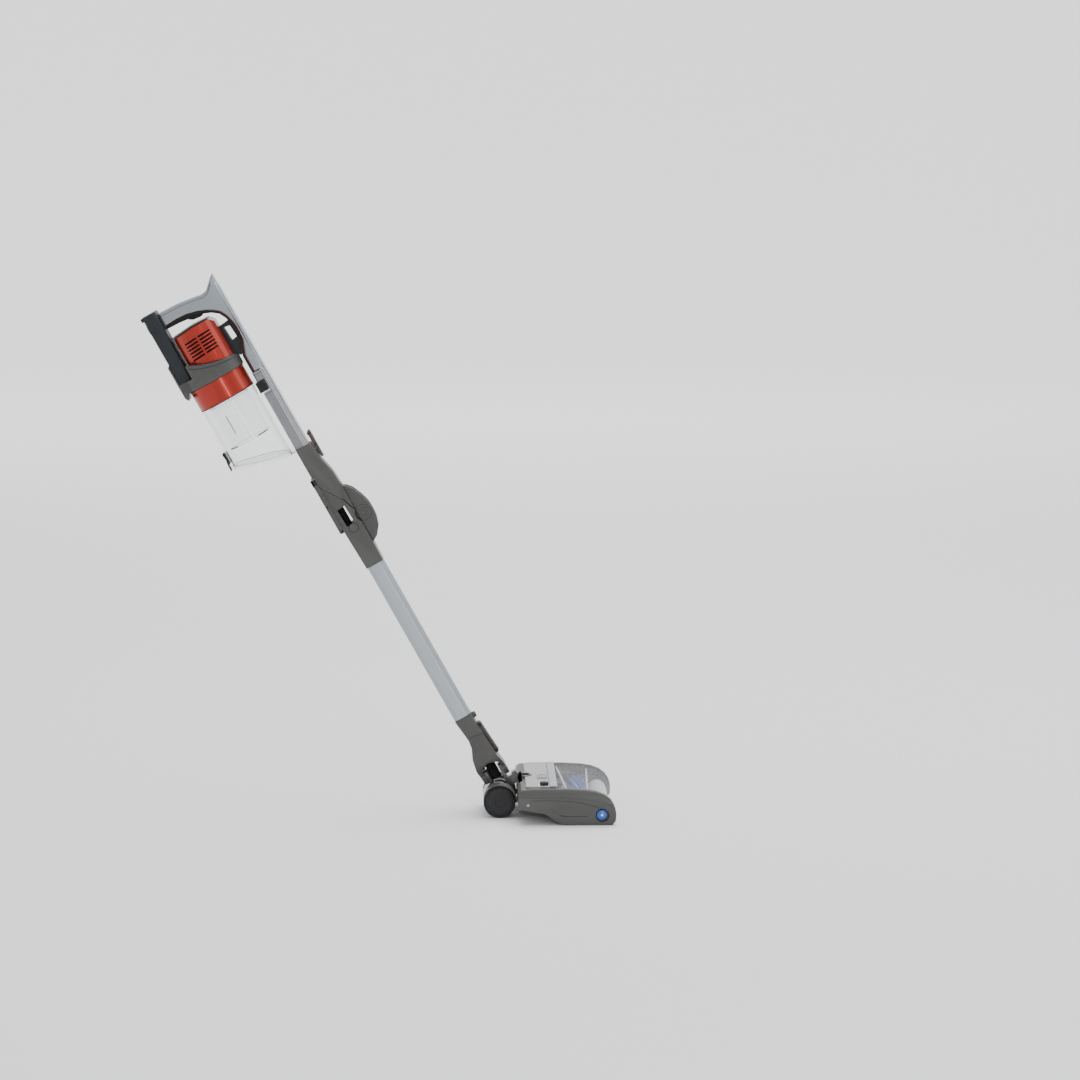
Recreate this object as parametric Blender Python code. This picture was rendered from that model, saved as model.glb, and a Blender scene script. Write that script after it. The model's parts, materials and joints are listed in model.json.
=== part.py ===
"""Cordless stick vacuum with a folding wand, modelled piece by piece.

Two frames are used, both in millimetres and turned into metres when a mesh is made:
  floor frame: +X forward, +Y to the left, +Z up, with its origin on the floor under the wheel axle;
  wand frame:  its origin is the wheel axle, its Z runs up the wand and its X points forward.
The wand frame leans back from the floor frame by LEAN_DEG. At the end the whole model is moved
so that the centre of its box stands over the origin.
"""

import math

import bmesh
import bpy
from mathutils import Vector

# ---------------------------------------------------------------- driving dimensions, in millimetres
MM = 0.001
GAP = 0.3
LEAN_DEG = 29.0

WHEEL_R = 30.0
WHEEL_INNER_Y, WHEEL_OUTER_Y = 39.0, 59.0
AXLE_R = 4.0
YOKE_R = 30.0

HEAD_HALF_WIDTH = 125.0
HEAD_REAR_X = 34.0
BRUSH_X, BRUSH_Z, BRUSH_R = 147.0, 28.0, 22.0
SOFT_X, SOFT_Z, SOFT_R = 189.5, 19.5, 18.5
ROLLER_HALF = 104.0
MOTOR_X, MOTOR_Z = 82.0, 46.0

WAND_X0, WAND_X1, WAND_HALF = -2.0, 32.0, 18.0
WAND_MID = (WAND_X0 + WAND_X1) / 2
NECK_TOP_S, TUBE_TOP_S = 168.0, 504.0
STEER_S = 45.0
FOLD_X, FOLD_S = 44.0, 600.0
SPINE_END_S = 763.0

CUP_X, CUP_R = -72.0, 55.0
CUP_TOP_S, RING_END_S = 952.0, 911.0
DOOR_FRONT_S, DOOR_BACK_S = 764.0, 792.0
DOOR_PIN = (-14.3, 760.8)
BATTERY_X0, BATTERY_X1, BATTERY_HALF = -135.0, -108.0, 31.0
BATTERY_S0, BATTERY_S1 = 974.0, 1115.0

# ---------------------------------------------------------------- materials
COLOURS = {
    "silver": ((0.50, 0.54, 0.57), 0.32, 0.4),
    "grey": ((0.115, 0.115, 0.11), 0.38, 0.0),
    "dark": ((0.025, 0.03, 0.034), 0.55, 0.0),
    "black": ((0.01, 0.01, 0.01), 0.6, 0.0),
    "copper_red": ((0.50, 0.075, 0.04), 0.28, 0.5),
    "clear": ((0.85, 0.87, 0.88), 0.08, 0.0),
    "plate": ((0.36, 0.36, 0.34), 0.35, 0.2),
    "blue": ((0.02, 0.10, 0.42), 0.3, 0.0),
    "steel": ((0.55, 0.55, 0.55), 0.3, 1.0),
    "brown": ((0.10, 0.085, 0.08), 0.45, 0.0),
    "foam": ((0.05, 0.05, 0.06), 0.95, 0.0),
}


def clear_scene():
    for obj in list(bpy.data.objects):
        bpy.data.objects.remove(obj, do_unlink=True)


def make_materials():
    made = {}
    for name, (colour, roughness, metallic) in COLOURS.items():
        material = bpy.data.materials.new(name)
        material.use_nodes = True
        shader = material.node_tree.nodes["Principled BSDF"]
        shader.inputs["Base Color"].default_value = (*colour, 1.0)
        shader.inputs["Roughness"].default_value = roughness
        shader.inputs["Metallic"].default_value = metallic
        made[name] = material
    return made


def make_frames():
    floor = bpy.data.objects.new("floor_frame", None)
    wand = bpy.data.objects.new("wand_frame", None)
    for empty in (floor, wand):
        bpy.context.scene.collection.objects.link(empty)
    wand.parent = floor
    wand.location.z = WHEEL_R * MM
    wand.rotation_euler.y = -math.radians(LEAN_DEG)
    return floor, wand


# ---------------------------------------------------------------- shape tools


def link(name, bm, frame, material):
    """Turns a bmesh in millimetres into a named object in one of the two frames."""
    bmesh.ops.recalc_face_normals(bm, faces=bm.faces)
    bmesh.ops.scale(bm, vec=(MM, MM, MM), verts=bm.verts)
    mesh = bpy.data.meshes.new(name)
    bm.to_mesh(mesh)
    bm.free()
    mesh.shade_smooth()
    mesh.set_sharp_from_angle(angle=math.radians(35))
    obj = bpy.data.objects.new(name, mesh)
    obj.data.materials.append(MATERIALS[material])
    bpy.context.scene.collection.objects.link(obj)
    obj.parent = frame
    return obj


def prism(name, outline, low, high, frame, material="grey", along="y"):
    """A flat outline pushed along one axis. The outline is in the two other axes, in their order."""
    place = {
        "x": lambda a, b, t: (t, a, b),
        "y": lambda a, b, t: (a, t, b),
        "z": lambda a, b, t: (a, b, t),
    }[along]
    bm = bmesh.new()
    face = bm.faces.new([bm.verts.new(place(a, b, low)) for a, b in outline])
    pushed = bmesh.ops.extrude_face_region(bm, geom=[face])
    moved = [v for v in pushed["geom"] if isinstance(v, bmesh.types.BMVert)]
    step = Vector(place(0, 0, high)) - Vector(place(0, 0, low))
    bmesh.ops.translate(bm, vec=step, verts=moved)
    return link(name, bm, frame, material)


def box(name, low, high, frame, material="grey"):
    outline = [(low[0], low[2]), (high[0], low[2]), (high[0], high[2]), (low[0], high[2])]
    return prism(name, outline, low[1], high[1], frame, material)


def drum(name, centre, radius, low, high, frame, material="grey", along="y", sides=32, top_radius=None):
    """A round bar or cone along one axis; centre is in the two other axes, in their order."""
    end_radius = radius if top_radius is None else top_radius
    place = {
        "x": lambda a, b, t: (t, a, b),
        "y": lambda a, b, t: (a, t, b),
        "z": lambda a, b, t: (a, b, t),
    }[along]
    bm = bmesh.new()
    rings = []
    for t, r in ((low, radius), (high, end_radius)):
        turns = [2 * math.pi * k / sides for k in range(sides)]
        corners = [(centre[0] + r * math.cos(a), centre[1] + r * math.sin(a)) for a in turns]
        rings.append([bm.verts.new(place(a, b, t)) for a, b in corners])
        bm.faces.new(rings[-1])
    bridge(bm, rings)
    return link(name, bm, frame, material)


def bridge(bm, rings):
    for first, second in zip(rings, rings[1:]):
        count = len(first)
        for k in range(count):
            after = (k + 1) % count
            bm.faces.new((first[k], first[after], second[after], second[k]))


def turned(name, profile, centre, frame, material="grey", along="z", sides=32):
    """A closed profile of (radius, height) turned about an axis through centre. Radius 0 is on the axis."""
    place = {
        "x": lambda a, b, t: (t, centre[0] + a, centre[1] + b),
        "y": lambda a, b, t: (centre[0] + a, t, centre[1] + b),
        "z": lambda a, b, t: (centre[0] + a, centre[1] + b, t),
    }[along]
    bm = bmesh.new()
    poles = {k: bm.verts.new(place(0.0, 0.0, t)) for k, (r, t) in enumerate(profile) if r == 0}
    rings = []
    for k in range(sides):
        angle = 2 * math.pi * k / sides
        ring = []
        for n, (r, t) in enumerate(profile):
            vert = poles.get(n) or bm.verts.new(place(r * math.cos(angle), r * math.sin(angle), t))
            ring.append(vert)
        rings.append(ring)
    for k in range(sides):
        first, second = rings[k], rings[(k + 1) % sides]
        for n in range(len(profile)):
            after = (n + 1) % len(profile)
            corners = list(dict.fromkeys((first[n], first[after], second[after], second[n])))
            if len(corners) > 2:
                bm.faces.new(corners)
    return link(name, bm, frame, material)


def rounded(x0, x1, half, radius, steps=4):
    """A rectangle with round corners, in X and Y."""
    points = []
    for cx, cy, start in (
        (x1 - radius, half - radius, 0),
        (x0 + radius, half - radius, 90),
        (x0 + radius, -half + radius, 180),
        (x1 - radius, -half + radius, 270),
    ):
        for k in range(steps + 1):
            angle = math.radians(start + 90 * k / steps)
            points.append((cx + radius * math.cos(angle), cy + radius * math.sin(angle)))
    return points


def arc(centre, radius, start, end, steps):
    """Points on a circle from start to end, in degrees."""
    angles = [math.radians(start + (end - start) * k / steps) for k in range(steps + 1)]
    return [(centre[0] + radius * math.cos(a), centre[1] + radius * math.sin(a)) for a in angles]


def combine(obj, other, operation):
    modifier = obj.modifiers.new(f"{operation.lower()}_{other.name}", "BOOLEAN")
    modifier.object = other
    modifier.operation = operation
    modifier.solver = "EXACT"
    other.hide_render = True
    other.display_type = "WIRE"


def cut(obj, *cutters):
    for cutter in cutters:
        combine(obj, cutter, "DIFFERENCE")


def join(obj, *others):
    for other in others:
        combine(obj, other, "UNION")


def keep(obj, other):
    combine(obj, other, "INTERSECT")


def tray(name, outline, face_y, back_y, wall, frame, material):
    """Half of a moulded shell: a pan whose rim lies at face_y and whose floor lies towards back_y."""
    bm = bmesh.new()
    face = bm.faces.new([bm.verts.new((a, back_y, b)) for a, b in outline])
    pushed = bmesh.ops.extrude_face_region(bm, geom=[face])
    moved = [v for v in pushed["geom"] if isinstance(v, bmesh.types.BMVert)]
    bmesh.ops.translate(bm, vec=(0, face_y - back_y, 0), verts=moved)
    bmesh.ops.recalc_face_normals(bm, faces=bm.faces)
    rim = [f for f in bm.faces if all(v in moved for v in f.verts)]
    bmesh.ops.inset_region(bm, faces=rim, thickness=wall, use_even_offset=True)
    sunk = bmesh.ops.extrude_face_region(bm, geom=rim)
    bmesh.ops.delete(bm, geom=rim, context="FACES")
    floor = [v for v in sunk["geom"] if isinstance(v, bmesh.types.BMVert)]
    depth = (face_y - back_y) - math.copysign(wall, face_y - back_y)
    bmesh.ops.translate(bm, vec=(0, -depth, 0), verts=floor)
    return link(name, bm, frame, material)


# ---------------------------------------------------------------- hand unit

OPENING = [
    (-106, 1079), (-78, 1078), (-50, 1075), (-30, 1071), (-16, 1065), (-4, 1056),
    (3, 1043), (7, 1028), (9, 1010), (8, 994), (2, 979), (-4, 964), (-4, 928),
]
LINER_THICK = 3.5


def handle_outline():
    """The side of the silver handle and spine: the beak, the grip's back, and the loop's inner edge."""
    grip_back = [(-106, 1108), (-67, 1107), (-42, 1104), (-19, 1100), (-8, 1102), (1, 1110), (9, 1118)]
    return [(17.5, 1125), (17.5, 928), *reversed(OPENING), *grip_back]


def offset_path(path, distance):
    """The same path moved sideways, to the left of its direction."""
    moved = []
    for k, point in enumerate(path):
        before, after = path[max(k - 1, 0)], path[min(k + 1, len(path) - 1)]
        along = Vector((after[0] - before[0], after[1] - before[1])).normalized()
        moved.append((point[0] - along.y * distance, point[1] + along.x * distance))
    return moved


def handle(wand):
    """Two moulded half shells meet at the middle, and a soft liner follows the edge of the hand opening."""
    outline = handle_outline()
    right = tray("handle_shell_right", outline, -GAP / 2, -18.0, 2.5, wand, "silver")
    left = tray("handle_shell_left", outline, GAP / 2, 18.0, 2.5, wand, "silver")

    outer = offset_path(OPENING, -GAP)
    inner = offset_path(OPENING, -GAP - LINER_THICK)
    liner = prism("handle_liner", [*outer, *reversed(inner)], -16.0, 16.0, wand, "black")
    slot = box("trigger_slot", (-62.6, -7.6, 1050.0), (-33.4, 7.6, 1085.0), wand)
    cut(liner, slot)
    cut(right, slot)
    cut(left, slot)

    box("front_trim", (17.8, -14.0, 790.0), (19.4, 14.0, 1108.0), wand, "silver")


def spine_tube(wand):
    """The air tube under the handle that carries the dust cup's weight down to the wand."""
    tube = prism("spine_tube", rounded(-9.0, 17.5, 17.5, 5.0), SPINE_END_S, 927.7, wand, "silver", "z")
    cut(
        tube,
        prism("spine_bore", rounded(-6.5, 15.0, 15.0, 4.0), 740.0, 880.0, wand, along="z"),
        box("spine_button_pocket", (-14.0, -25.0, 884.0), (5.8, 25.0, 908.6), wand),
        drum("spine_air_hole", (0.0, 840.0), 9.0, -30.0, 4.0, wand, along="x"),
    )


def trigger(wand):
    """The power trigger comes down through the liner, under the front of the grip."""
    outline = [
        (-62.0, 1079.0), (-34.0, 1079.0), (-34.0, 1066.5),
        (-40.0, 1064.8), (-55.0, 1066.6), (-62.0, 1070.5),
    ]
    prism("power_trigger", outline, -7.0, 7.0, wand, "dark")


def bridge_bracket(wand):
    """The black link from the motor housing to the spine, with a window through it."""
    outline = [
        (-18.8, 1033), (0.3, 1035), (3.6, 1018), (4.6, 1008), (3.4, 996.5),
        (-2.6, 981), (-8.6, 967), (-12.2, 969), (-18.8, 977.5),
    ]
    bracket = prism("bridge_bracket", outline, -11.0, 11.0, wand, "black")
    window = prism("bracket_window", [(-12.5, 1027), (-1, 1025), (0.5, 1001), (-11, 999)], -20, 20, wand)
    cut(bracket, window)


def motor_housing(wand):
    outline = [
        (-103.5, 1052), (-60, 1056), (-28, 1056), (-19.3, 1046), (-19.3, 977), (-40, 979.5),
        (-60, 983.5), (-82, 990.5), (-103.5, 1000),
    ]
    housing = prism("motor_housing", outline, -43.0, 43.0, wand, "copper_red")
    plan = rounded(-104.0, -19.0, 43.0, 26.0)
    keep(housing, prism("motor_plan", plan, 970, 1080, wand, along="z"))
    cut(housing, prism("motor_inside", rounded(-100.5, -22.5, 40.0, 23.0), 960.0, 1047.0, wand, along="z"))
    for side in (-1, 1):
        for row in range(6):
            s = 1036.5 - 6.6 * row
            slot = [(-88, s - 3.5), (-34, s), (-34, s + 2.6), (-62, s + 1.6), (-88, s - 0.6)]
            reach = sorted((side * 30.0, side * 50.0))
            cut(housing, prism(f"vent_{row}_{'left' if side > 0 else 'right'}", slot, *reach, wand))
    cap = [(-103.5, 1052.3), (-60, 1056.3), (-29, 1056.3), (-31, 1058.5), (-62, 1060), (-103.5, 1056.5)]
    prism("motor_cap", cap, -30.0, 30.0, wand, "grey")


def motor(wand):
    turned(
        "motor_can",
        [(5, 990), (27, 990), (27, 1030), (5, 1030)],
        (-62.0, 0.0), wand, "steel",
    )
    hub = drum("fan_impeller", (-62.0, 0.0), 10.0, 976.0, 988.0, wand, "dark", "z", 16)
    blades = 7
    for k in range(blades):
        angle = 2 * math.pi * k / blades
        blade_outline = []
        for r, side in ((8, -1), (27, -1), (27, 1), (8, 1)):
            a = angle + (r - 8) * 0.012
            x = -62.0 + r * math.cos(a) - side * math.sin(a)
            y = r * math.sin(a) + side * math.cos(a)
            blade_outline.append((x, y))
        join(hub, prism(f"blade_{k}", blade_outline, 977.5, 986.5, wand, along="z"))
    join(hub, drum("motor_shaft", (-62.0, 0.0), 2.5, 985.0, 1034.0, wand, "steel", "z", 16))
    turned("premotor_filter", [(6, 956), (36, 956), (36, 972), (6, 972)], (CUP_X, 0.0), wand, "foam")


def collar(wand):
    """The grey band that holds the motor housing, the battery's foot and the dust cup."""
    outline = [
        (-139, 947), (-134.5, 940), (-128, CUP_TOP_S + GAP), (-14, CUP_TOP_S + GAP),
        (-12.8, 962), (-12.8, 968.4), (-19.3, 976.6), (-40, 979.1), (-60, 983.1), (-82, 990.1),
        (-103.8, 999.7), (-107.7, 999.7),
        (-107.7, 973.7), (-135.3, 973.7), (-135.3, 1015), (-139, 1012),
    ]
    band = prism("main_collar", outline, -57.0, 57.0, wand, "grey")
    round_outline = [*arc((CUP_X, 0.0), 58.9, -150, 150, 24), (-139.5, 28), (-139.5, -28)]
    keep(band, prism("collar_plan", round_outline, 930.0, 1020.0, wand, along="z"))
    cut(
        band,
        drum("collar_bore", (CUP_X, 0.0), 40.0, 940.0, 974.0, wand, along="z"),
        drum("collar_throat", (-62.0, 0.0), 30.0, 960.0, 1010.0, wand, along="z"),
    )


def battery(wand):
    plan = rounded(BATTERY_X0, BATTERY_X1, BATTERY_HALF, 6.0)
    lid_plan = rounded(-139.0, BATTERY_X1, BATTERY_HALF, 6.0)
    case = prism("battery_case", plan, BATTERY_S0, 1107.0, wand, "dark", "z")
    cut(
        case,
        prism("battery_inside", rounded(-132.0, -111.0, 28.0, 3.0), 977.0, 1120.0, wand, along="z"),
        box("battery_button_pocket", (-140.0, -12.3, 1080.0), (-130.0, 12.3, 1098.3), wand),
    )
    lid = prism("battery_cap", lid_plan, 1107.3, BATTERY_S1, wand, "dark", "z")
    join(lid, prism("battery_cap_plug", rounded(-131.6, -111.4, 27.6, 2.6), 1100.0, 1108.0, wand, along="z"))
    box("battery_button", (-137.5, -12.0, 1080.4), (-132.5, 12.0, 1098.0), wand, "black")
    pack = box("cell_pack", (-129.5, -26.0, 979.0), (-112.5, 26.0, 981.0), wand, "blue")
    for k in range(3):
        y = -18.0 + 18.0 * k
        join(pack, drum(f"cell_{k}", (-121.0, y), 8.6, 980.0, 1097.0, wand, along="z", sides=20))
    join(pack, box("cell_strap", (-129.0, -25.0, 1094.0), (-113.0, 25.0, 1096.0), wand))


def door_plane(x, below=0.0):
    """Height of the cup's slanting rim at a place along X, or of a plane that far below it."""
    slope = (DOOR_FRONT_S - DOOR_BACK_S) / (2 * CUP_R)
    return DOOR_BACK_S + slope * (x - (CUP_X - CUP_R)) - below


def slanted(name, outline, top, drop, wand, material="clear"):
    """An upright bar whose foot is cut along the door's plane."""
    bm = bmesh.new()
    upper = [bm.verts.new((x, y, top)) for x, y in outline]
    lower = [bm.verts.new((x, y, door_plane(x, drop))) for x, y in outline]
    bm.faces.new(upper)
    bm.faces.new(lower)
    bridge(bm, [upper, lower])
    return link(name, bm, wand, material)


def circle(radius, sides=40, centre=(CUP_X, 0.0)):
    return arc(centre, radius, 0, 360 * (sides - 1) / sides, sides - 1)


def dust_cup(wand):
    turned(
        "cup_ring",
        [(41.5, CUP_TOP_S), (CUP_R + 1, CUP_TOP_S), (CUP_R + 0.5, RING_END_S), (CUP_R - 3.5, RING_END_S),
         (CUP_R - 3.5, CUP_TOP_S - 4), (41.5, CUP_TOP_S - 4)],
        (CUP_X, 0.0), wand, "copper_red", sides=40,
    )
    wall = slanted("cup_wall", circle(CUP_R - 0.8), RING_END_S - GAP, 0.0, wand)
    cut(wall, slanted("cup_hollow", circle(CUP_R - 3.6), RING_END_S + 30, 20.0, wand))
    for side in (-1, 1):
        y0, y1 = sorted((side * 4.5, side * 8.5))
        word = "left" if side > 0 else "right"
        ear = [(-21, 765.5), (-17.2, 764.2), (-17.2, 757.6), (-11.2, 757.6), (-11.2, 773), (-21, 773)]
        join(wall, prism(f"cup_ear_{word}", ear, y0, y1, wand))
    cut(wall, drum("door_pin_hole", DOOR_PIN, 1.9, -20.0, 20.0, wand, sides=16))
    drum("door_hinge_pin", DOOR_PIN, 1.6, -9.0, 9.0, wand, "steel", sides=16)
    turned(
        "cyclone_shroud",
        [(38.5, 822.0), (41.0, 822.0), (41.0, 947.4), (38.5, 947.4)],
        (CUP_X, 0.0), wand, "clear", sides=40,
    )
    turned(
        "cyclone_cone",
        [(17.0, 832.0), (19.0, 832.0), (37.5, 900.0), (37.5, 940.0), (35.5, 940.0), (35.5, 900.0)],
        (CUP_X, 0.0), wand, "silver", sides=28,
    )


def cup_door(wand):
    """The floor of the dust cup: it hangs on a pin at the front and is held by a latch at the back."""
    door = slanted("cup_door", circle(CUP_R - 0.8), 860.0, 6.0, wand)
    cut(door, slanted("door_above", circle(CUP_R + 5), 880.0, GAP, wand))
    join(
        door,
        drum("door_knuckle", DOOR_PIN, 3.1, -4.2, 4.2, wand, sides=20),
        box("door_lug", (-22.0, -4.2, 758.6), (-14.3, 4.2, 762.4), wand),
        box("door_tongue", (-131.0, -6.0, 787.2), (-122.0, 6.0, 790.2), wand),
    )
    for side in (-1, 1):
        word = "left" if side > 0 else "right"
        y0, y1 = sorted((side * 4.3, side * 9.4))
        cut(door, box(f"ear_notch_{word}", (-24.0, y0, 745.0), (-5.0, y1, 775.0), wand))
    cut(door, drum("door_pin_eye", DOOR_PIN, 1.9, -20.0, 20.0, wand, sides=16))
    latch = [
        (-127.6, 800.5), (-127.6, 822), (-131, 824), (-134, 821), (-132.5, 810),
        (-134.2, 799), (-134.2, 786.6), (-131.6, 786.6), (-131.6, 798.5),
    ]
    prism("door_latch", latch, -8.0, 8.0, wand, "black")


def cup_button(wand):
    """The block on the spine that frees the dust cup."""
    box("cup_release_button", (-13.0, -21.5, 887.0), (5.2, 21.5, 908.0), wand, "dark")


# ---------------------------------------------------------------- folding joint of the wand


def fold_upper(wand):
    """The upper half of the folding joint. Its middle tongue reaches forward to the hinge pin."""
    outline = [
        (-9, SPINE_END_S - GAP), (23, SPINE_END_S - GAP), (25, 728), (32, 697), (34, 667),
        (22, 641), (-5.5, 683), (-5.5, 700.5), (-9, 702),
    ]
    upper = prism("fold_upper_housing", outline, -20.0, 20.0, wand, "grey")
    cut(
        upper,
        prism("upper_bore", rounded(-4.0, 19.5, 13.0, 4.0), 705.0, 800.0, wand, along="z"),
        prism("upper_throat", rounded(-2.0, 16.5, 9.5, 4.0), 600.0, 710.0, wand, along="z"),
        drum("upper_slot_right", (FOLD_X, FOLD_S), 66.6, -14.4, -7.6, wand, sides=64),
        drum("upper_slot_left", (FOLD_X, FOLD_S), 66.6, 7.6, 14.4, wand, sides=64),
    )
    tongue = [(20.5, 650), (20.5, 684), (31, 684), (33.2, 668), (56, 611), (44, 587), (31, 593), (27.5, 634)]
    join(
        upper,
        prism("fold_tongue", tongue, -7.2, 7.2, wand),
        drum("fold_knuckle", (FOLD_X, FOLD_S), 16.0, -7.2, 7.2, wand),
    )
    cut(upper, drum("fold_eye", (FOLD_X, FOLD_S), 6.2, -40.0, 40.0, wand, sides=24))


def fold_lower(wand):
    """The lower half: a slot takes the tongue, a window shows the hose, and a collar grips the tube."""
    outline = [
        (-3, TUBE_TOP_S + GAP), (WAND_X1, TUBE_TOP_S + GAP), (33, 543), (33, 612),
        (21.4, 640.5), (-5.8, 682), (-5.5, 580),
    ]
    lower = prism("fold_lower_housing", outline, -20.0, 20.0, wand, "grey")
    cut(
        lower,
        box("hinge_slot", (18.0, -7.6, 578.0), (60.0, 7.6, 700.0), wand),
        prism("lower_window", [(3, 627), (19, 629), (20.5, 597), (12, 590), (4, 592)], -30.0, 30.0, wand),
        prism("lower_bore", rounded(-2.0, 17.0, 11.5, 4.0), 560.0, 720.0, wand, along="z"),
        prism("tube_bore", rounded(1.5, 28.0, 14.0, 4.0), 480.0, 562.0, wand, along="z"),
        drum("lower_eye", (FOLD_X, FOLD_S), 16.4, -40.0, 40.0, wand, sides=32),
    )
    for side in (-1, 1):
        word = "left" if side > 0 else "right"
        low, high = sorted((side * 19.0, side * 20.8))
        join(lower, drum(f"hose_boss_{word}", (14.0, 584.0), 8.4, low, high, wand, sides=24))


def hinge_covers(wand):
    """A half-moon cheek on each side of the tongue carries the hinge pin."""
    moon = [
        (33.3, 664), (41, 658), (48, 650), (57, 630), (61.5, 614), (62.5, 600), (61.5, 583),
        (56, 564), (45, 550), (33.3, 543),
    ]
    for name, low, high in (("hinge_cover_right", -14.0, -7.9), ("hinge_cover_left", 7.9, 14.0)):
        cover = prism(name, moon, low, high, wand, "grey")
        cut(cover, drum(f"{name}_eye", (FOLD_X, FOLD_S), 6.2, -40, 40, wand, sides=24))
    pin = drum("fold_pin", (FOLD_X, FOLD_S), 5.9, -15.0, 15.0, wand, "steel", sides=24)
    join(
        pin,
        drum("pin_cap_right", (FOLD_X, FOLD_S), 9.0, -15.6, -14.3, wand, sides=24),
        drum("pin_cap_left", (FOLD_X, FOLD_S), 9.0, 14.3, 15.6, wand, sides=24),
    )


def bellows(name, centre, low, high, radius, depth, pitch, frame, wall=1.5, sides=16):
    """A corrugated hose: a tube whose wall swings in and out once in each pitch."""
    ribs = max(2, round((high - low) / pitch))
    step = (high - low) / (2 * ribs)
    heights = [low + step * k for k in range(2 * ribs + 1)]
    outer = [(radius - (0.0 if k % 2 else depth), h) for k, h in enumerate(heights)]
    inner = [(r - wall, h) for r, h in reversed(outer)]
    return turned(name, [*outer, *inner], centre, frame, "black", sides=sides)


def wand(frame):
    bellows("fold_hose", (7.2, 0.0), 581.0, 698.0, 8.2, 1.4, 8.0, frame)
    plan = rounded(WAND_X0, WAND_X1, WAND_HALF, 10.0)
    bore = rounded(WAND_X0 + 1.5, WAND_X1 - 1.5, WAND_HALF - 1.5, 8.5)
    tube = prism("wand_tube", plan, NECK_TOP_S + GAP, TUBE_TOP_S, frame, "silver", "z")
    cut(tube, prism("wand_bore", bore, 100, 600, frame, along="z"))
    lever = [(-13.5, 585), (-10.2, 583), (-9.8, 690), (-6.5, 692), (-6.5, 697), (-13.5, 699)]
    bar = prism("fold_release_lever", lever, -13.0, 13.0, frame, "brown")
    join(bar, box("fold_lever_foot", (-11.0, -8.0, 583.5), (-6.2, 8.0, 592.0), frame))
    release = [
        (24.5, 741), (27.5, 729), (31, 728), (31.5, 783), (28, 785),
        (23.6, 780), (23.6, 776), (27.5, 776), (28, 745),
    ]
    prism("wand_release_lever", release, -9.0, 9.0, frame, "brown")


# ---------------------------------------------------------------- neck and yoke


def neck(wand):
    """The hollow knee below the tube. Two legs, front and back, straddle the yoke's lugs."""
    side = [
        (WAND_X0, NECK_TOP_S), (WAND_X1, NECK_TOP_S), (33, 141), (37, 77), (41, 55), (41, 25),
        (33.5, 25), (33.5, 60), (29, 64), (14, 69), (1, 65), (-3.3, 60), (-3.3, 25), (-10, 25),
        (-13, 64), (-8, 89), (1, 109), (3, 124),
    ]
    housing = prism("neck_housing", side, -26.0, 26.0, wand, "grey")
    front = [
        (-18, 200), (18, 200), (18, 120), (22, 95), (24, 74), (20, 63),
        *arc((0.0, STEER_S), 14.2, 20, -200, 12), (-20, 63), (-24, 74), (-22, 95), (-18, 120),
    ]
    keep(housing, prism("neck_front", dedupe(front), -40.0, 60.0, wand, along="x"))
    join(housing, drum("neck_stud", (0.0, 161.0), 5.5, 30.0, 39.0, wand, "grey", "x", 20))
    cut(
        housing,
        prism("neck_bore", rounded(3.4, 27.4, 12.0, 6.0), 60.0, 200.0, wand, along="z"),
        drum("neck_pin_hole", (0.0, STEER_S), 5.3, -40.0, 60.0, wand, along="x", sides=20),
        prism("pedal_pocket", [(33.4, 137), (32.5, 100), (32.5, 75), (46, 75), (46, 137)], -10.4, 10.4, wand),
    )
    bellows("neck_hose", (15.0, 0.0), 33.0, 84.0, 10.6, 1.8, 6.4, wand)
    pedal = [(34.2, 139), (37.4, 79), (41.3, 77), (43.8, 80), (39.8, 141), (36.8, 145), (34.0, 145)]
    prism("nozzle_release_pedal", pedal, -10.0, 10.0, wand, "brown")


def dedupe(points):
    """The same outline without a point that repeats the one before it."""
    kept = []
    for point in points:
        if not kept or abs(point[0] - kept[-1][0]) + abs(point[1] - kept[-1][1]) > 0.01:
            kept.append(point)
    return kept


def yoke(wand):
    """The drum that turns on the axle and carries the neck between two lugs."""
    body = drum("yoke", (0.0, 0.0), YOKE_R, -30.4, 30.4, wand, "grey", sides=40)
    cut(
        body,
        drum("yoke_cavity", (0.0, 0.0), 25.0, -24.0, 24.0, wand, sides=40),
        prism("yoke_air_window", [(8, 2), (60, 2), (60, -42), (8, -30)], -14.0, 14.0, wand),
    )
    nose = [(28, 8), (44, 8), (53, 20), (52, 30), (43, 30), (42, 26), (28, 26)]
    join(
        body,
        prism("yoke_front_lug", [(25, 8), (27.4, 57), (33.0, 57), (33.0, 8)], -9.0, 9.0, wand),
        prism("yoke_back_lug", [(-2.8, 27), (-2.8, 57), (2.8, 57), (2.8, 27)], -9.0, 9.0, wand),
        prism("yoke_lock_nose", nose, -9.0, 9.0, wand),
    )
    lug_plan = [
        (-40, -40), (40, -40), (40, 31), (12.4, 31),
        *arc((0.0, STEER_S), 12.4, -20, 200, 12), (-12.4, 31), (-40, 31),
    ]
    keep(body, prism("yoke_plan", dedupe(lug_plan), -60.0, 70.0, wand, along="x"))
    cut(
        body,
        drum("yoke_axle_hole", (0.0, 0.0), AXLE_R + GAP, -40.0, 40.0, wand, sides=20),
        drum("yoke_hose_hole", (15.0, 0.0), 11.2, 10.0, 70.0, wand, along="z", sides=28),
        drum("yoke_pin_hole", (0.0, STEER_S), 5.3, -30.0, 50.0, wand, along="x", sides=20),
    )
    drum("steer_pin_front", (0.0, STEER_S), 5.0, 28.0, 41.5, wand, "steel", "x", 20)
    drum("steer_pin_back", (0.0, STEER_S), 5.0, -11.5, 2.4, wand, "steel", "x", 20)


# ---------------------------------------------------------------- floor head

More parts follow.
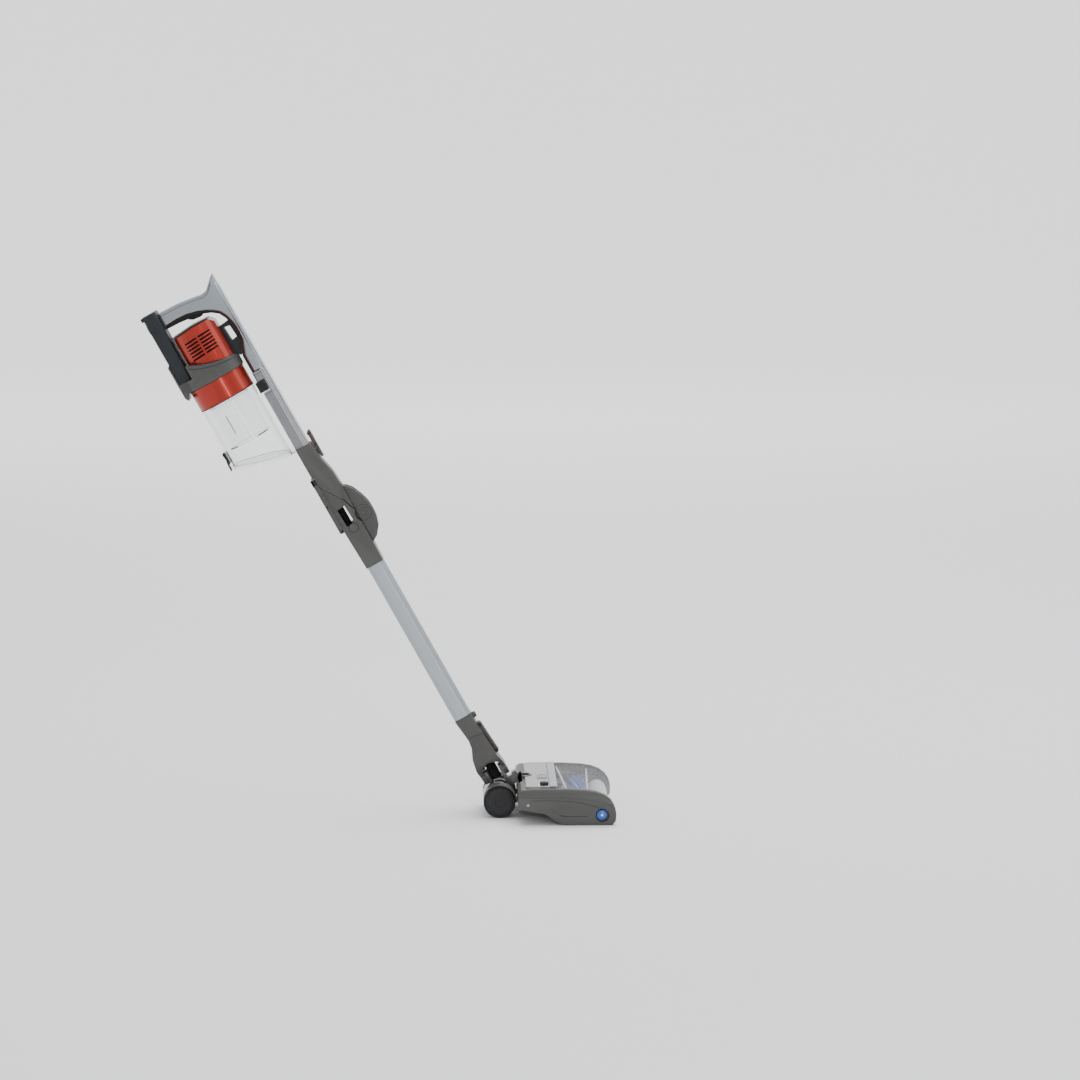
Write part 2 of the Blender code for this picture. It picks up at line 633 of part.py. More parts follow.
SEAM = [(HEAD_REAR_X, 51), (60, 52), (121, 51), (160, 49), (190, 44), (212, 36)]
TOP = [
    (213.5, 37), (206, 49), (196, 57), (180, 63.5), (160, 67), (121, 69), (60, 69), (40, 67),
    (HEAD_REAR_X, 62),
]


def head_base(floor):
    """The lower shell of the floor head, with a cheek at each end and a fork behind for the axle."""
    under = [(217, 21), (216, 8), (209, 0), (121, 0), (98, 11), (86, 21), (HEAD_REAR_X, 31)]
    base = prism("head_base", [*SEAM, (215, 33), *under], -HEAD_HALF_WIDTH, HEAD_HALF_WIDTH, floor, "grey")
    bay = [(38, 34), (86, 25), (100, 16), (117.5, 12), (117.5, 70), (38, 70)]
    cut(
        base,
        prism("base_motor_bay", bay, -120.0, 120.0, floor),
        prism("base_chamber", [(120.7, -10), (240, -10), (240, 80), (120.7, 80)], -112.0, 112.0, floor),
        box("base_duct_hole", (110.0, -17.5, 38.5), (130.0, 17.5, 55.5), floor),
        box("base_belt_hole", (110.0, 104.6, 18.0), (130.0, 112.0, 60.0), floor),
        drum("brush_bearing", (BRUSH_X, BRUSH_Z), 5.4, -118.0, 118.0, floor, sides=20),
        drum("soft_bearing", (SOFT_X, SOFT_Z), 5.4, -130.0, 118.0, floor, sides=20),
        drum("knob_recess", (SOFT_X + 1.5, SOFT_Z - 0.5), 12.8, -130.0, -119.0, floor, sides=28),
    )
    join(base, box("sole_bar", (162.0, -113.0, 1.5), (172.0, 113.0, 6.0), floor))
    centre = (0.0, WHEEL_R)
    for side in (-1, 1):
        word = "left" if side > 0 else "right"
        cheek = [*arc(centre, 33.6, 140, 10, 14), (38.0, 36.0), (38.0, 28.5), (20, 18), (0, 18), (-16, 24)]
        guard = [*arc(centre, 33.6, 140, 10, 14), *arc(centre, 31.6, 10, 140, 14)]
        low, high = sorted((side * 31.0, side * 37.6))
        join(base, prism(f"fork_{word}", cheek, low, high, floor))
        low, high = sorted((side * 37.0, side * 59.0))
        join(base, prism(f"mudguard_{word}", guard, low, high, floor))
    cut(
        base,
        drum("fork_axle_hole", centre, AXLE_R + GAP, -60, 60, floor, sides=20),
        box("base_lock_slot", (30.0, -11.0, 34.0), (58.0, 11.0, 90.0), floor),
        drum("base_yoke_clear", centre, YOKE_R + 1.0, -31.0, 31.0, floor, sides=40),
    )


def head_cover(floor):
    """The upper shell, the light plate on it, the bright bar and the clear window over the rollers."""
    seam_up = [(x, z + GAP) for x, z in SEAM]
    cover = prism("head_cover", [*seam_up, *TOP], -HEAD_HALF_WIDTH, HEAD_HALF_WIDTH, floor, "grey")
    inside = [
        (37, 40), (208, 30), (203, 46), (194, 54), (179, 60.5), (160, 64), (121, 66), (60, 66),
        (37, 62),
    ]
    window = [(108, 20), (230, 20), (230, 90), (108, 90)]
    rear = [(20, 40), (43.5, 40), (43.5, 90), (20, 90)]
    boss = drum("lock_boss", (46.0, 0.0), 16.0, 60.0, 71.5, floor, along="z", sides=28)
    cut(
        cover,
        prism("cover_inside", inside, -121.5, 121.5, floor),
        prism("cover_window", window, -112.0, 112.0, floor),
    )
    join(cover, boss)
    cut(
        cover,
        prism("cover_rear_recess", rear, -46.0, 46.0, floor),
        box("lock_slot", (30.0, -11.0, 30.0), (58.0, 11.0, 90.0), floor),
        box("latch_slot", (71.5, -38.5, 40.0), (90.5, -3.5, 90.0), floor),
    )
    plate = box("top_plate", (49.0, -108.0, 69.3), (92.5, 108.0, 70.8), floor, "plate")
    cut(
        plate,
        drum("plate_boss_clear", (46.0, 0.0), 16.5, 60.0, 80.0, floor, along="z", sides=28),
        box("plate_latch_slot", (71.5, -38.5, 40.0), (90.5, -3.5, 90.0), floor),
    )
    bar = [(93.0, 69.3), (107.6, 69.3), (107.6, 71.2), (105, 72.4), (95.5, 72.4), (93.0, 71.2)]
    prism("trim_bar", bar, -111.0, 111.0, floor, "silver")
    outer = [
        (108.4, 69.2), (121, 68.9), (140, 68.2), (160, 66.8), (180, 63.2), (196, 56.7),
        (206, 48.7), (213.3, 37), (214, 33),
    ]
    inner = [
        (108.4, 66.8), (121, 66.5), (140, 65.8), (159.6, 64.4), (179.2, 60.9), (194.6, 54.6),
        (204, 47.2), (210.8, 36.2), (211.6, 33),
    ]
    prism("head_window", [*outer, *reversed(inner)], -111.6, 111.6, floor, "clear")
    box("roller_latch", (72.0, -38.0, 62.0), (90.0, -4.0, 72.0), floor, "plate")
    knob = [(0, 71.1), (8.5, 71.1), (8.5, 73.5), (7.2, 76.0), (0, 76.0)]
    turned("lock_knob", knob, (83.0, -96.0), floor, "black", "z", 24)


def axle(floor):
    drum("axle", (0.0, WHEEL_R), AXLE_R, -54.0, 54.0, floor, "steel", sides=20)


def wheels(floor):
    centre = (0.0, WHEEL_R)
    for side, word in ((-1, "right"), (1, "left")):
        inner, outer = side * WHEEL_INNER_Y, side * WHEEL_OUTER_Y
        turned(
            f"wheel_hub_{word}",
            [(AXLE_R + GAP, inner), (25.0, inner + side), (25.0, outer - side), (0, outer - side),
             (0, side * 54.6), (AXLE_R + GAP, side * 54.6)],
            centre, floor, "dark", "y", 32,
        )
        turned(
            f"wheel_tyre_{word}",
            [(25.3, inner + side), (28.0, inner), (WHEEL_R, inner + side * 3), (WHEEL_R, outer - side * 3),
             (28.0, outer), (25.3, outer - side)],
            centre, floor, "black", "y", 32,
        )


def brush_roller(floor):
    """The rear roller: a ribbed core with a helical row of fins, and a belt pulley at its left end."""
    centre = (BRUSH_X, BRUSH_Z)
    core = drum("brush_roller", centre, 16.0, -ROLLER_HALF, ROLLER_HALF, floor, "blue", sides=24)
    fins, stations = 6, 10
    for k in range(fins):
        bm = bmesh.new()
        rings = []
        for n in range(stations + 1):
            y = -ROLLER_HALF + 3 + (2 * ROLLER_HALF - 6) * n / stations
            twist = math.radians(60.0 * k + 70.0 * n / stations)
            corners = []
            for r, side in ((14.5, -1.6), (BRUSH_R, -1.0), (BRUSH_R, 1.0), (14.5, 1.6)):
                x = BRUSH_X + r * math.cos(twist) - side * math.sin(twist)
                z = BRUSH_Z + r * math.sin(twist) + side * math.cos(twist)
                corners.append(bm.verts.new((x, y, z)))
            rings.append(corners)
        bm.faces.new(rings[0])
        bm.faces.new(rings[-1])
        bridge(bm, rings)
        join(core, link(f"fin_{k}", bm, floor, "blue"))
    join(
        core,
        drum("brush_stub", centre, 5.0, -116.5, 116.5, floor, sides=20),
        drum("brush_pulley", centre, 9.0, 104.9, 111.0, floor, sides=24),
    )


def soft_roller(floor):
    """The front roller: a plain soft sleeve whose blue end cap shows in the right cheek."""
    centre = (SOFT_X, SOFT_Z)
    sleeve = drum("soft_roller", centre, SOFT_R, -109.0, 109.0, floor, "plate", sides=32)
    join(sleeve, drum("soft_stub", centre, 5.0, -117.0, 116.5, floor, sides=20))
    turned(
        "roller_cap",
        [(0, -126.0), (6.0, -125.8), (9.6, -124.2), (10.5, -122.0), (10.5, -119.4), (0, -119.4)],
        centre, floor, "blue", "y", 28,
    )
    turned(
        "roller_hood",
        [(24.4, -111.4), (26.0, -111.4), (26.0, 111.4), (24.4, 111.4)],
        (BRUSH_X, BRUSH_Z), floor, "plate", "y", 36,
    )
    hood = bpy.data.objects["roller_hood"]
    cut(
        hood,
        prism("hood_mouth", [(118, -10), (118, 14), (147, 28), (200, 68), (200, -10)], -130, 130, floor),
        prism("hood_view", [(132, 90), (140, 34), (158, 34), (172, 90)], -104.5, 104.5, floor),
        box("hood_duct", (110.0, -17.5, 38.5), (135.0, 17.5, 55.5), floor),
        prism("hood_belt", [(100, 20), (132, 20), (132, 90), (100, 90)], 104.6, 130.0, floor),
        box("hood_bar_clear", (160.0, -130, -5), (175.0, 130.0, 6.5), floor),
    )


def drive(floor):
    """The brush motor, its pinion, the belt to the rear roller, and the air duct out of the chamber."""
    centre = (MOTOR_X, MOTOR_Z)
    drum("brush_motor", centre, 15.0, 45.0, 100.0, floor, "steel", sides=24)
    cogs = 12
    outline = []
    for k in range(2 * cogs):
        radius = 6.0 if k % 2 else 5.2
        angle = math.pi * k / cogs
        outline.append((MOTOR_X + radius * math.cos(angle), MOTOR_Z + radius * math.sin(angle)))
    prism("motor_pinion", outline, 100.4, 111.0, floor, "dark")
    tilt = math.degrees(math.atan2(BRUSH_Z - MOTOR_Z, BRUSH_X - MOTOR_X))
    loops = []
    for grow in (0.4, 1.6):
        back = arc(centre, 6.0 + grow, tilt + 90, tilt + 270, 12)
        front = arc((BRUSH_X, BRUSH_Z), 9.0 + grow, tilt - 90, tilt + 90, 14)
        loops.append([*back, *front])
    belt = prism("drive_belt", loops[1], 105.4, 110.4, floor, "black")
    cut(belt, prism("belt_inside", loops[0], 100.0, 115.0, floor))
    duct = box("air_duct", (60.0, -20.0, 36.0), (117.0, 20.0, 58.0), floor, "dark")
    cut(duct, box("duct_bore", (50.0, -17.5, 38.5), (130.0, 17.5, 55.5), floor))


def stand_over_origin(floor):
    """Moves the model so that its box is centred over the origin in X and Y and rests on Z = 0."""
    bpy.context.view_layer.update()
    graph = bpy.context.evaluated_depsgraph_get()
    points = []
    for obj in bpy.data.objects:
        if obj.type == "MESH" and not obj.hide_render:
            evaluated = obj.evaluated_get(graph)
            mesh = evaluated.to_mesh()
            points += [evaluated.matrix_world @ v.co for v in mesh.vertices]
            evaluated.to_mesh_clear()
    low = [min(p[k] for p in points) for k in range(3)]
    high = [max(p[k] for p in points) for k in range(3)]
    floor.location = (-(low[0] + high[0]) / 2, -(low[1] + high[1]) / 2, -low[2])


clear_scene()
MATERIALS = make_materials()
FLOOR, WAND = make_frames()
handle(WAND)
spine_tube(WAND)
trigger(WAND)
bridge_bracket(WAND)
motor_housing(WAND)
motor(WAND)
collar(WAND)
battery(WAND)
dust_cup(WAND)
cup_door(WAND)
cup_button(WAND)
fold_upper(WAND)
fold_lower(WAND)
hinge_covers(WAND)
wand(WAND)
neck(WAND)
yoke(WAND)
head_base(FLOOR)
head_cover(FLOOR)
axle(FLOOR)
wheels(FLOOR)
brush_roller(FLOOR)
soft_roller(FLOOR)
drive(FLOOR)
stand_over_origin(FLOOR)
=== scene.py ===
"""Looks of a cordless stick vacuum: the studio first, then the hand unit, cup, wand, neck and head.

Sizes are in millimetres. Pieces of the wand use the wand's own frame (X forward, Y left, Z up along the wand,
from the wheel axle); pieces of the head use the floor frame under the wheel axle.
"""

import json
import math

import bmesh
import bpy
from mathutils import Matrix, Vector


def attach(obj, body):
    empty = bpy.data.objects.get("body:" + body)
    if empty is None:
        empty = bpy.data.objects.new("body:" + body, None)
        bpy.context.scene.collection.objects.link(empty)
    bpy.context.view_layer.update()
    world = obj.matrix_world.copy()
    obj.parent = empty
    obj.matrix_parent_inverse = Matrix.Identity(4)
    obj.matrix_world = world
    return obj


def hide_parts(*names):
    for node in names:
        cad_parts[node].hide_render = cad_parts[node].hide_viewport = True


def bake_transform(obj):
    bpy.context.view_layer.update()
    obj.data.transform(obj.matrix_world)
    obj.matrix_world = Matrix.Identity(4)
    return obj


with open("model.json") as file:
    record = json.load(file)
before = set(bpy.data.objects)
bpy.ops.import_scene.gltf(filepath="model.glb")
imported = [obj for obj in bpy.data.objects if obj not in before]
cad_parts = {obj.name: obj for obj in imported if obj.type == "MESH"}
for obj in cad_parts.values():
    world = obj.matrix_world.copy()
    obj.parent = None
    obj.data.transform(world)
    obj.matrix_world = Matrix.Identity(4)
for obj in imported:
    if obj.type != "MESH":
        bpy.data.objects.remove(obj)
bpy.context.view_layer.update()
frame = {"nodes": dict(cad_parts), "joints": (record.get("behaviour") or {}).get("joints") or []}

# ------------------------------------------------------------------ studio
# A floor of pale card curves up all round, far away, so that no horizon shows from any side. A wide soft box
# overhead, a tall one in front of the head and a long strip beside the camera light the vacuum; a broad one
# that faces away from it lights the card behind.
MM = 0.001


def linear(code):
    """The linear colour of an sRGB hex code, as shaders take it."""
    parts = [int(code[k:k + 2], 16) / 255 for k in (1, 3, 5)]
    return (*[p / 12.92 if p <= 0.04045 else ((p + 0.055) / 1.055) ** 2.4 for p in parts], 1.0)


def feed(material, node, sockets):
    """Gives each named socket of a node a value or a link."""
    for name, value in sockets.items():
        if isinstance(value, bpy.types.NodeSocket):
            material.node_tree.links.new(value, node.inputs[name])
        else:
            node.inputs[name].default_value = value


def add(material, kind, sockets=None, **settings):
    """Adds one node to a material, with its own settings and with a value or a link on each named socket."""
    node = material.node_tree.nodes.new(kind)
    for name, value in settings.items():
        setattr(node, name, value)
    feed(material, node, sockets or {})
    return node


def new_material(name):
    material = bpy.data.materials.new(name)
    material.use_nodes = True
    return material, material.node_tree.nodes["Principled BSDF"]


def matt_card():
    """Uncoated paper board: no gloss, with the faint cloudiness of its fibres, drawn at 40 mm."""
    material, shader = new_material("matt_card")
    place = add(material, "ShaderNodeTexCoord")
    cloud = add(material, "ShaderNodeTexNoise", {
        "Vector": place.outputs["Object"], "Scale": 25.0, "Detail": 3.0})
    tone = add(material, "ShaderNodeValToRGB", {"Fac": cloud.outputs["Fac"]})
    tone.color_ramp.elements[0].color = linear("#ececed")
    tone.color_ramp.elements[1].color = linear("#efeff0")
    feed(material, shader, {"Base Color": tone.outputs["Color"], "Roughness": 0.9, "Specular IOR Level": 0.2})
    return material


def studio_floor():
    flat, bend, height, sides = 9.0, 3.0, 2.5, 96
    profile = [(flat * k / 6, 0.0) for k in range(1, 7)]
    for k in range(1, 13):
        turn = math.pi / 2 * k / 12
        profile.append((flat + bend * math.sin(turn), bend - bend * math.cos(turn)))
    profile.append((flat + bend, bend + height))
    bm = bmesh.new()
    centre = bm.verts.new((0.0, 0.0, 0.0))
    spokes = []
    for n in range(sides):
        turn = 2 * math.pi * n / sides
        spokes.append([bm.verts.new((r * math.cos(turn), r * math.sin(turn), z)) for r, z in profile])
    for n in range(sides):
        first, second = spokes[n], spokes[(n + 1) % sides]
        bm.faces.new((centre, first[0], second[0]))
        for k in range(len(profile) - 1):
            bm.faces.new((first[k], first[k + 1], second[k + 1], second[k]))
    mesh = bpy.data.meshes.new("studio_floor")
    bm.to_mesh(mesh)
    bm.free()
    mesh.shade_smooth()
    floor = bpy.data.objects.new("studio_floor", mesh)
    floor.data.materials.append(matt_card())
    bpy.context.scene.collection.objects.link(floor)


def soft_box(name, place, aim, size, power, along=(0.0, 0.0, 1.0)):
    """A rectangular lamp that faces aim, with its long side along a direction."""
    light = bpy.data.lights.new(name, "AREA")
    light.shape = "RECTANGLE"
    light.size, light.size_y = size
    light.energy = power
    lamp = bpy.data.objects.new(name, light)
    back = (Vector(place) - Vector(aim)).normalized()
    across = Vector(along).cross(back).normalized()
    facing = Matrix((across, back.cross(across), back)).transposed().to_4x4()
    lamp.matrix_world = Matrix.Translation(place) @ facing
    bpy.context.scene.collection.objects.link(lamp)


studio_floor()
soft_box("overhead_box", (0.9, 1.4, 5.2), (0.1, 0.3, 0.0), (5.0, 5.0), 300.0)
soft_box("back_box", (0.0, 6.5, 4.6), (0.0, 10.5, 0.6), (12.0, 3.0), 420.0)
soft_box("front_box", (3.4, -0.4, 2.6), (0.0, 0.0, 0.5), (1.2, 2.0), 16.0)
soft_box("strip_box", (1.0, -3.3, 0.62), (-0.2, 0.0, 0.8), (0.26, 3.0), 34.0, (-0.485, 0.0, 0.875))

room = bpy.data.worlds.new("room")
room.use_nodes = True
room.node_tree.nodes["Background"].inputs["Color"].default_value = linear("#f0f1f3")
room.node_tree.nodes["Background"].inputs["Strength"].default_value = 1.1
bpy.context.scene.world = room

# The camera stands 6.3 m away at 1.42 m, looking down 8 degrees and a little to the right of straight on.
CAMERA_PLACE, CAMERA_YAW, CAMERA_PITCH, CAMERA_LENS = (0.1151, -6.3211, 1.4237), 1.68, 8.13, 113.36
yaw, pitch = math.radians(CAMERA_YAW), math.radians(CAMERA_PITCH)
gaze = Vector((math.sin(yaw) * math.cos(pitch), math.cos(yaw) * math.cos(pitch), -math.sin(pitch)))
lens = bpy.data.cameras.new("camera")
lens.sensor_width = 36.0
lens.lens = CAMERA_LENS
camera = bpy.data.objects.new("camera", lens)
camera.location = CAMERA_PLACE
camera.rotation_euler = gaze.to_track_quat("-Z", "Y").to_euler()
bpy.context.scene.collection.objects.link(camera)
bpy.context.scene.camera = camera

# ------------------------------------------------------------------ handle shells
# Two half shells, injection moulded in ABS and lacquered metallic silver, are screwed together along the
# middle of the grip and the spine. Their outer edges are rounded wide enough for a palm.
joints = {joint["name"]: joint for joint in frame["joints"]}
AXLE = Vector(joints["lean"]["pos_m"])
UP_WAND = Vector(joints["fan_spin"]["axis"]).normalized()
SIDE = Vector((0.0, 1.0, 0.0))
WAND = Matrix.Translation(AXLE)
WAND = WAND @ Matrix((SIDE.cross(UP_WAND), SIDE, UP_WAND)).transposed().to_4x4() @ Matrix.Scale(MM, 4)
HEAD = Matrix.Translation((AXLE.x, AXLE.y, 0.0)) @ Matrix.Scale(MM, 4)
WHEEL_R = AXLE.z / MM
SIDES = ((-1, "right"), (1, "left"))


def steady_normals(mesh, sharp):
    """Corner normals weighted by face area, so that a flat side stays flat beside a rounded edge."""
    around = [[] for _ in mesh.vertices]
    faces = [(face.normal.copy(), face.area) for face in mesh.polygons]
    for face in mesh.polygons:
        for corner in face.vertices:
            around[corner].append(faces[face.index])
    limit = math.cos(math.radians(sharp))
    normals = []
    for face in mesh.polygons:
        own = faces[face.index][0]
        for corner in face.vertices:
            total = Vector()
            for normal, area in around[corner]:
                if normal.dot(own) > limit:
                    total += normal * area
            normals.append(total.normalized())
    mesh.normals_split_custom_set(normals)


def fitted(bm, name, body, material, place=WAND, sharp=32.0):
    """Turns a bmesh in millimetres into a finished piece that rides on a body."""
    bmesh.ops.recalc_face_normals(bm, faces=bm.faces)
    bm.transform(place)
    mesh = bpy.data.meshes.new(name)
    bm.to_mesh(mesh)
    bm.free()
    mesh.shade_smooth()
    mesh.set_sharp_from_angle(angle=math.radians(sharp))
    if len(mesh.polygons) < 6000:
        steady_normals(mesh, sharp)
    piece = bpy.data.objects.new(name, mesh)
    mesh.materials.append(material)
    bpy.context.scene.collection.objects.link(piece)
    if body:
        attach(piece, body)
    return piece


def rounded_copy(name, node, body, material, edge, chosen=None, place=WAND, steps=3, least=28.0,
                 crown=None, joined=0.5):
    """A finished casing made from one CAD solid: facets joined, and edges rounded to a radius in millimetres.
    chosen picks the edges, from their two ends in the given frame; the rest stay crisp. crown swells the
    sides: (middle, half width, rise) along the frame's X. joined is the angle under which facets count as
    one face."""
    bm = bmesh.new()
    bm.from_mesh(frame["nodes"][node].data)
    bm.transform(place.inverted())
    bmesh.ops.remove_doubles(bm, verts=bm.verts, dist=0.002)
    if joined:
        bmesh.ops.dissolve_limit(bm, angle_limit=math.radians(joined), verts=bm.verts, edges=bm.edges)
    picked = []
    for e in bm.edges:
        if len(e.link_faces) != 2 or e.calc_face_angle(0.0) < math.radians(least):
            continue
        if chosen is None or chosen(e.verts[0].co, e.verts[1].co):
            picked.append(e)
    if picked:
        bmesh.ops.bevel(
            bm, geom=picked, offset=edge, offset_type="OFFSET", segments=steps, profile=0.5,
            affect="EDGES", clamp_overlap=True,
        )
    if crown:
        middle, half, rise = crown
        for k in range(-7, 8):
            bmesh.ops.bisect_plane(
                bm, geom=[*bm.verts, *bm.edges, *bm.faces],
                plane_co=(middle + half * k / 7.5, 0, 0), plane_no=(1, 0, 0))
        for v in bm.verts:
            share = max(0.0, 1.0 - ((v.co.x - middle) / half) ** 2)
            v.co.y *= 1.0 + rise * share
    piece = fitted(bm, name, body, material, place)
    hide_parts(node)
    return piece


def fine_grain(material, size, depth):
    """Bump of a moulded or sprayed skin, from the size and depth of its grain in millimetres."""
    place = add(material, "ShaderNodeTexCoord")
    grain = add(material, "ShaderNodeTexNoise", {
        "Vector": place.outputs["Object"], "Scale": 1.0 / (size * MM), "Detail": 2.0, "Roughness": 0.6})
    bump = add(material, "ShaderNodeBump", {
        "Height": grain.outputs["Fac"], "Strength": 0.6, "Distance": depth * MM})
    return grain, bump


def tone_with_edge_highlight(material, low, high, edge, size=60.0):
    """Two close tones that drift over the surface, and a paler tone laid along the convex outer edges: a
    painted highlight.
    """
    place = add(material, "ShaderNodeTexCoord")
    drift = add(material, "ShaderNodeTexNoise", {
        "Vector": place.outputs["Object"], "Scale": 1.0 / (size * MM), "Detail": 4.0})
    tone = add(material, "ShaderNodeValToRGB", {"Fac": drift.outputs["Fac"]})
    tone.color_ramp.elements[0].position, tone.color_ramp.elements[1].position = 0.3, 0.7
    tone.color_ramp.elements[0].color, tone.color_ramp.elements[1].color = linear(low), linear(high)
    shape = add(material, "ShaderNodeNewGeometry")
    # Painted highlight: convex edges, found by pointiness, are mixed up to 18% toward the paler edge tone.
    edge_highlight_mask = add(material, "ShaderNodeMapRange", {
        "Value": shape.outputs["Pointiness"], "From Min": 0.55, "From Max": 0.7})
    edge_highlight_mask.inputs["To Max"].default_value = 0.18
    return add(material, "ShaderNodeMix", {
        "Factor": edge_highlight_mask.outputs["Result"], "A": tone.outputs["Color"], "B": linear(edge)}, data_type="RGBA")


def grained_skin(name, tones, drift, grain, gloss, sockets):
    """A skin whose tone drifts and pales along its edges in a painted highlight, and whose gloss follows a
    fine grain.
    """
    material, shader = new_material(name)
    # tones are two drifting tones and the paler tone of the painted edge highlight.
    tone = tone_with_edge_highlight(material, *tones, drift)
    noise, bump = fine_grain(material, *grain)
    rough = add(material, "ShaderNodeMapRange", {
        "Value": noise.outputs["Fac"], "To Min": gloss[0], "To Max": gloss[1]})
    feed(material, shader, {
        "Base Color": tone.outputs[2], "Roughness": rough.outputs["Result"], "Normal": bump.outputs["Normal"],
        **sockets})
    return material


def silver_lacquer(name, low, high, edge):
    """Metallic lacquer on ABS: aluminium flake under a clear coat. The flakes are 0.05 mm and are drawn at
    0.6 mm, so that their sparkle shows as a fine unevenness in the gloss."""
    return grained_skin(name, (low, high, edge), 90.0, (0.6, 0.004), (0.28, 0.42), {
        "Metallic": 0.65, "Coat Weight": 0.35, "Coat Roughness": 0.12})


def beyond(limit):
    """Picks edges whose two ends are at least that far from the middle."""
    return lambda a, b: abs(a.y) > limit and abs(b.y) > limit


def above(height):
    """Picks edges that lie above a height."""
    return lambda a, b: min(a.z, b.z) > height


def outer_rim(limit):
    """Picks edges that lie on a side face at least that far from the middle."""
    return lambda a, b: beyond(limit)(a, b) and a.y * b.y > 0


silver = silver_lacquer("silver_lacquer", "#8a9095", "#93999e", "#bfc4c8")
for word in ("left", "right"):
    rounded_copy(f"grip_shell_{word}", f"handle_shell_{word}", "hand_unit", silver, 8.0,
                 outer_rim(17.9), steps=6)

# ------------------------------------------------------------------ handle liner and accents
# A thermoplastic rubber liner is moulded round the hand opening and the inner edge of the spine. A thin
# anodised red wire is pressed between it and the shells, and a second one runs up the front of the beak.


def soft_rubber(name, low, high, grain_size=0.8):
    """Thermoplastic rubber from a blasted tool: near black, with a dry velvet gloss."""
    return grained_skin(name, (low, high, "#4a4a4b"), 30.0, (grain_size, 0.03), (0.52, 0.72), {
        "Specular IOR Level": 0.18, "Sheen Weight": 0.04, "Sheen Roughness": 0.5})


def skin(bm, rings):
    """Joins loops of points into a closed bar, with a flat cap at each end."""
    for first, second in zip(rings, rings[1:]):
        for n in range(len(first)):
            after = (n + 1) % len(first)
            bm.faces.new((first[n], first[after], second[after], second[n]))
    bm.faces.new(rings[0])
    bm.faces.new(rings[-1])


def strand(name, points, radius, body, material, place=WAND, sides=8):
    """A thin round bead or wire laid along points."""
    bm = bmesh.new()
    rings = []
    for k, point in enumerate(points):
        before, after = points[max(k - 1, 0)], points[min(k + 1, len(points) - 1)]
        along = (Vector(after) - Vector(before)).normalized()
        across = along.cross(Vector((0.0, 1.0, 0.0)))
        if across.length < 0.1:
            across = along.cross(Vector((0.0, 0.0, 1.0)))
        across.normalize()
        other = along.cross(across)
        ring = []
        for n in range(sides):
            turn = 2 * math.pi * n / sides
            out = math.cos(turn) * across + math.sin(turn) * other
            ring.append(bm.verts.new(Vector(point) + radius * out))
        rings.append(ring)
    skin(bm, rings)
    return fitted(bm, name, body, material, place, 60.0)


def strand_pair(name, path, out, radius, body, material, place=WAND):
    """The same bead on both sides, along (X, Z) points, at a distance from the middle."""
    for side, word in SIDES:
        strand(f"{name}_{word}", [(q, side * out, s) for q, s in path], radius, body, material, place)


def smooth_path(points, per_span=5):
    """A curve through points in a plane, as a Catmull-Rom spline."""
    ends = [points[0], *points, points[-1]]
    path = []
    for k in range(1, len(ends) - 2):
        a, b, c, d = (Vector(p) for p in ends[k - 1:k + 3])
        for n in range(per_span):
            t = n / per_span
            square, cube = (2 * a - 5 * b + 4 * c - d) * t * t, (3 * b - a - 3 * c + d) * t ** 3
            path.append(0.5 * (2 * b + (c - a) * t + square + cube))
    return [*path, Vector(points[-1])]


def red_anodised(name):
    """Anodised aluminium wire dyed dark red: a thin bright line with a soft metal gloss."""
    material, shader = new_material(name)
    tone = tone_with_edge_highlight(material, "#5e1c19", "#732723", "#9c4a42", 20.0)
    _, bump = fine_grain(material, 0.4, 0.01)
    feed(material, shader, {
        "Base Color": tone.outputs[2], "Metallic": 0.7, "Roughness": 0.35, "Normal": bump.outputs["Normal"]})
    return material


liner_rubber = soft_rubber("liner_rubber", "#1b1b1c", "#242425")
rounded_copy("grip_liner", "handle_liner", "hand_unit", liner_rubber, 0.7, outer_rim(15.9), steps=2)
accent = red_anodised("red_anodised_wire")
liner_edge = [(-16, 1065.5), (-4, 1056.3), (3.2, 1043), (7.2, 1028), (9.2, 1010), (8.2, 994), (2.2, 979),
              (-3.6, 964), (-3.8, 945), (-3.8, 930)]
front_edge = [(18.2, 985), (18.2, 1050), (18.2, 1108)]
strand_pair("liner_wire", smooth_path(liner_edge), 16.6, 0.5, "hand_unit", accent)
strand_pair("front_wire", smooth_path(front_edge), 12.2, 0.4, "hand_unit", accent)

# ------------------------------------------------------------------ grip lines, screws and front trim
# The grip carries a shallow groove below its back edge. Two screws in the right shell and a bright lacquered
# strip down the front of the spine finish the handle; the strip snaps into the shells. Pale strips over the
# spine's front corners are a painted highlight of its rounded front edge.


def dark_gap(name):
    """The shadow in a parting line: bare moulded ABS with no light reaching it."""
    material, shader = new_material(name)
    tone = tone_with_edge_highlight(material, "#2c2d2e", "#38393a", "#4a4a4a", 15.0)
    feed(material, shader, {"Base Color": tone.outputs[2], "Roughness": 0.85, "Specular IOR Level": 0.1})
    return material


def spun(name, profile, centre, axis, body, material, place=WAND, sides=64):
    """A profile of (radius, height) turned about an axis that runs through centre along x, y or z."""
    lay = {
        "x": lambda a, b, t: (centre[0] + t, centre[1] + a, centre[2] + b),
        "y": lambda a, b, t: (centre[0] + a, centre[1] + t, centre[2] + b),
        "z": lambda a, b, t: (centre[0] + a, centre[1] + b, centre[2] + t),
    }[axis]
    bm = bmesh.new()
    poles = {n: bm.verts.new(lay(0.0, 0.0, t)) for n, (r, t) in enumerate(profile) if r == 0}
    rings = []
    for k in range(sides):
        turn = 2 * math.pi * k / sides
        rings.append([poles.get(n) or bm.verts.new(lay(r * math.cos(turn), r * math.sin(turn), t))
                      for n, (r, t) in enumerate(profile)])
    for k in range(sides):
        first, second = rings[k], rings[(k + 1) % sides]
        for n in range(len(profile)):
            after = (n + 1) % len(profile)
            corners = list(dict.fromkeys((first[n], first[after], second[after], second[n])))
            if len(corners) > 2:
                bm.faces.new(corners)
    return fitted(bm, name, body, material, place)


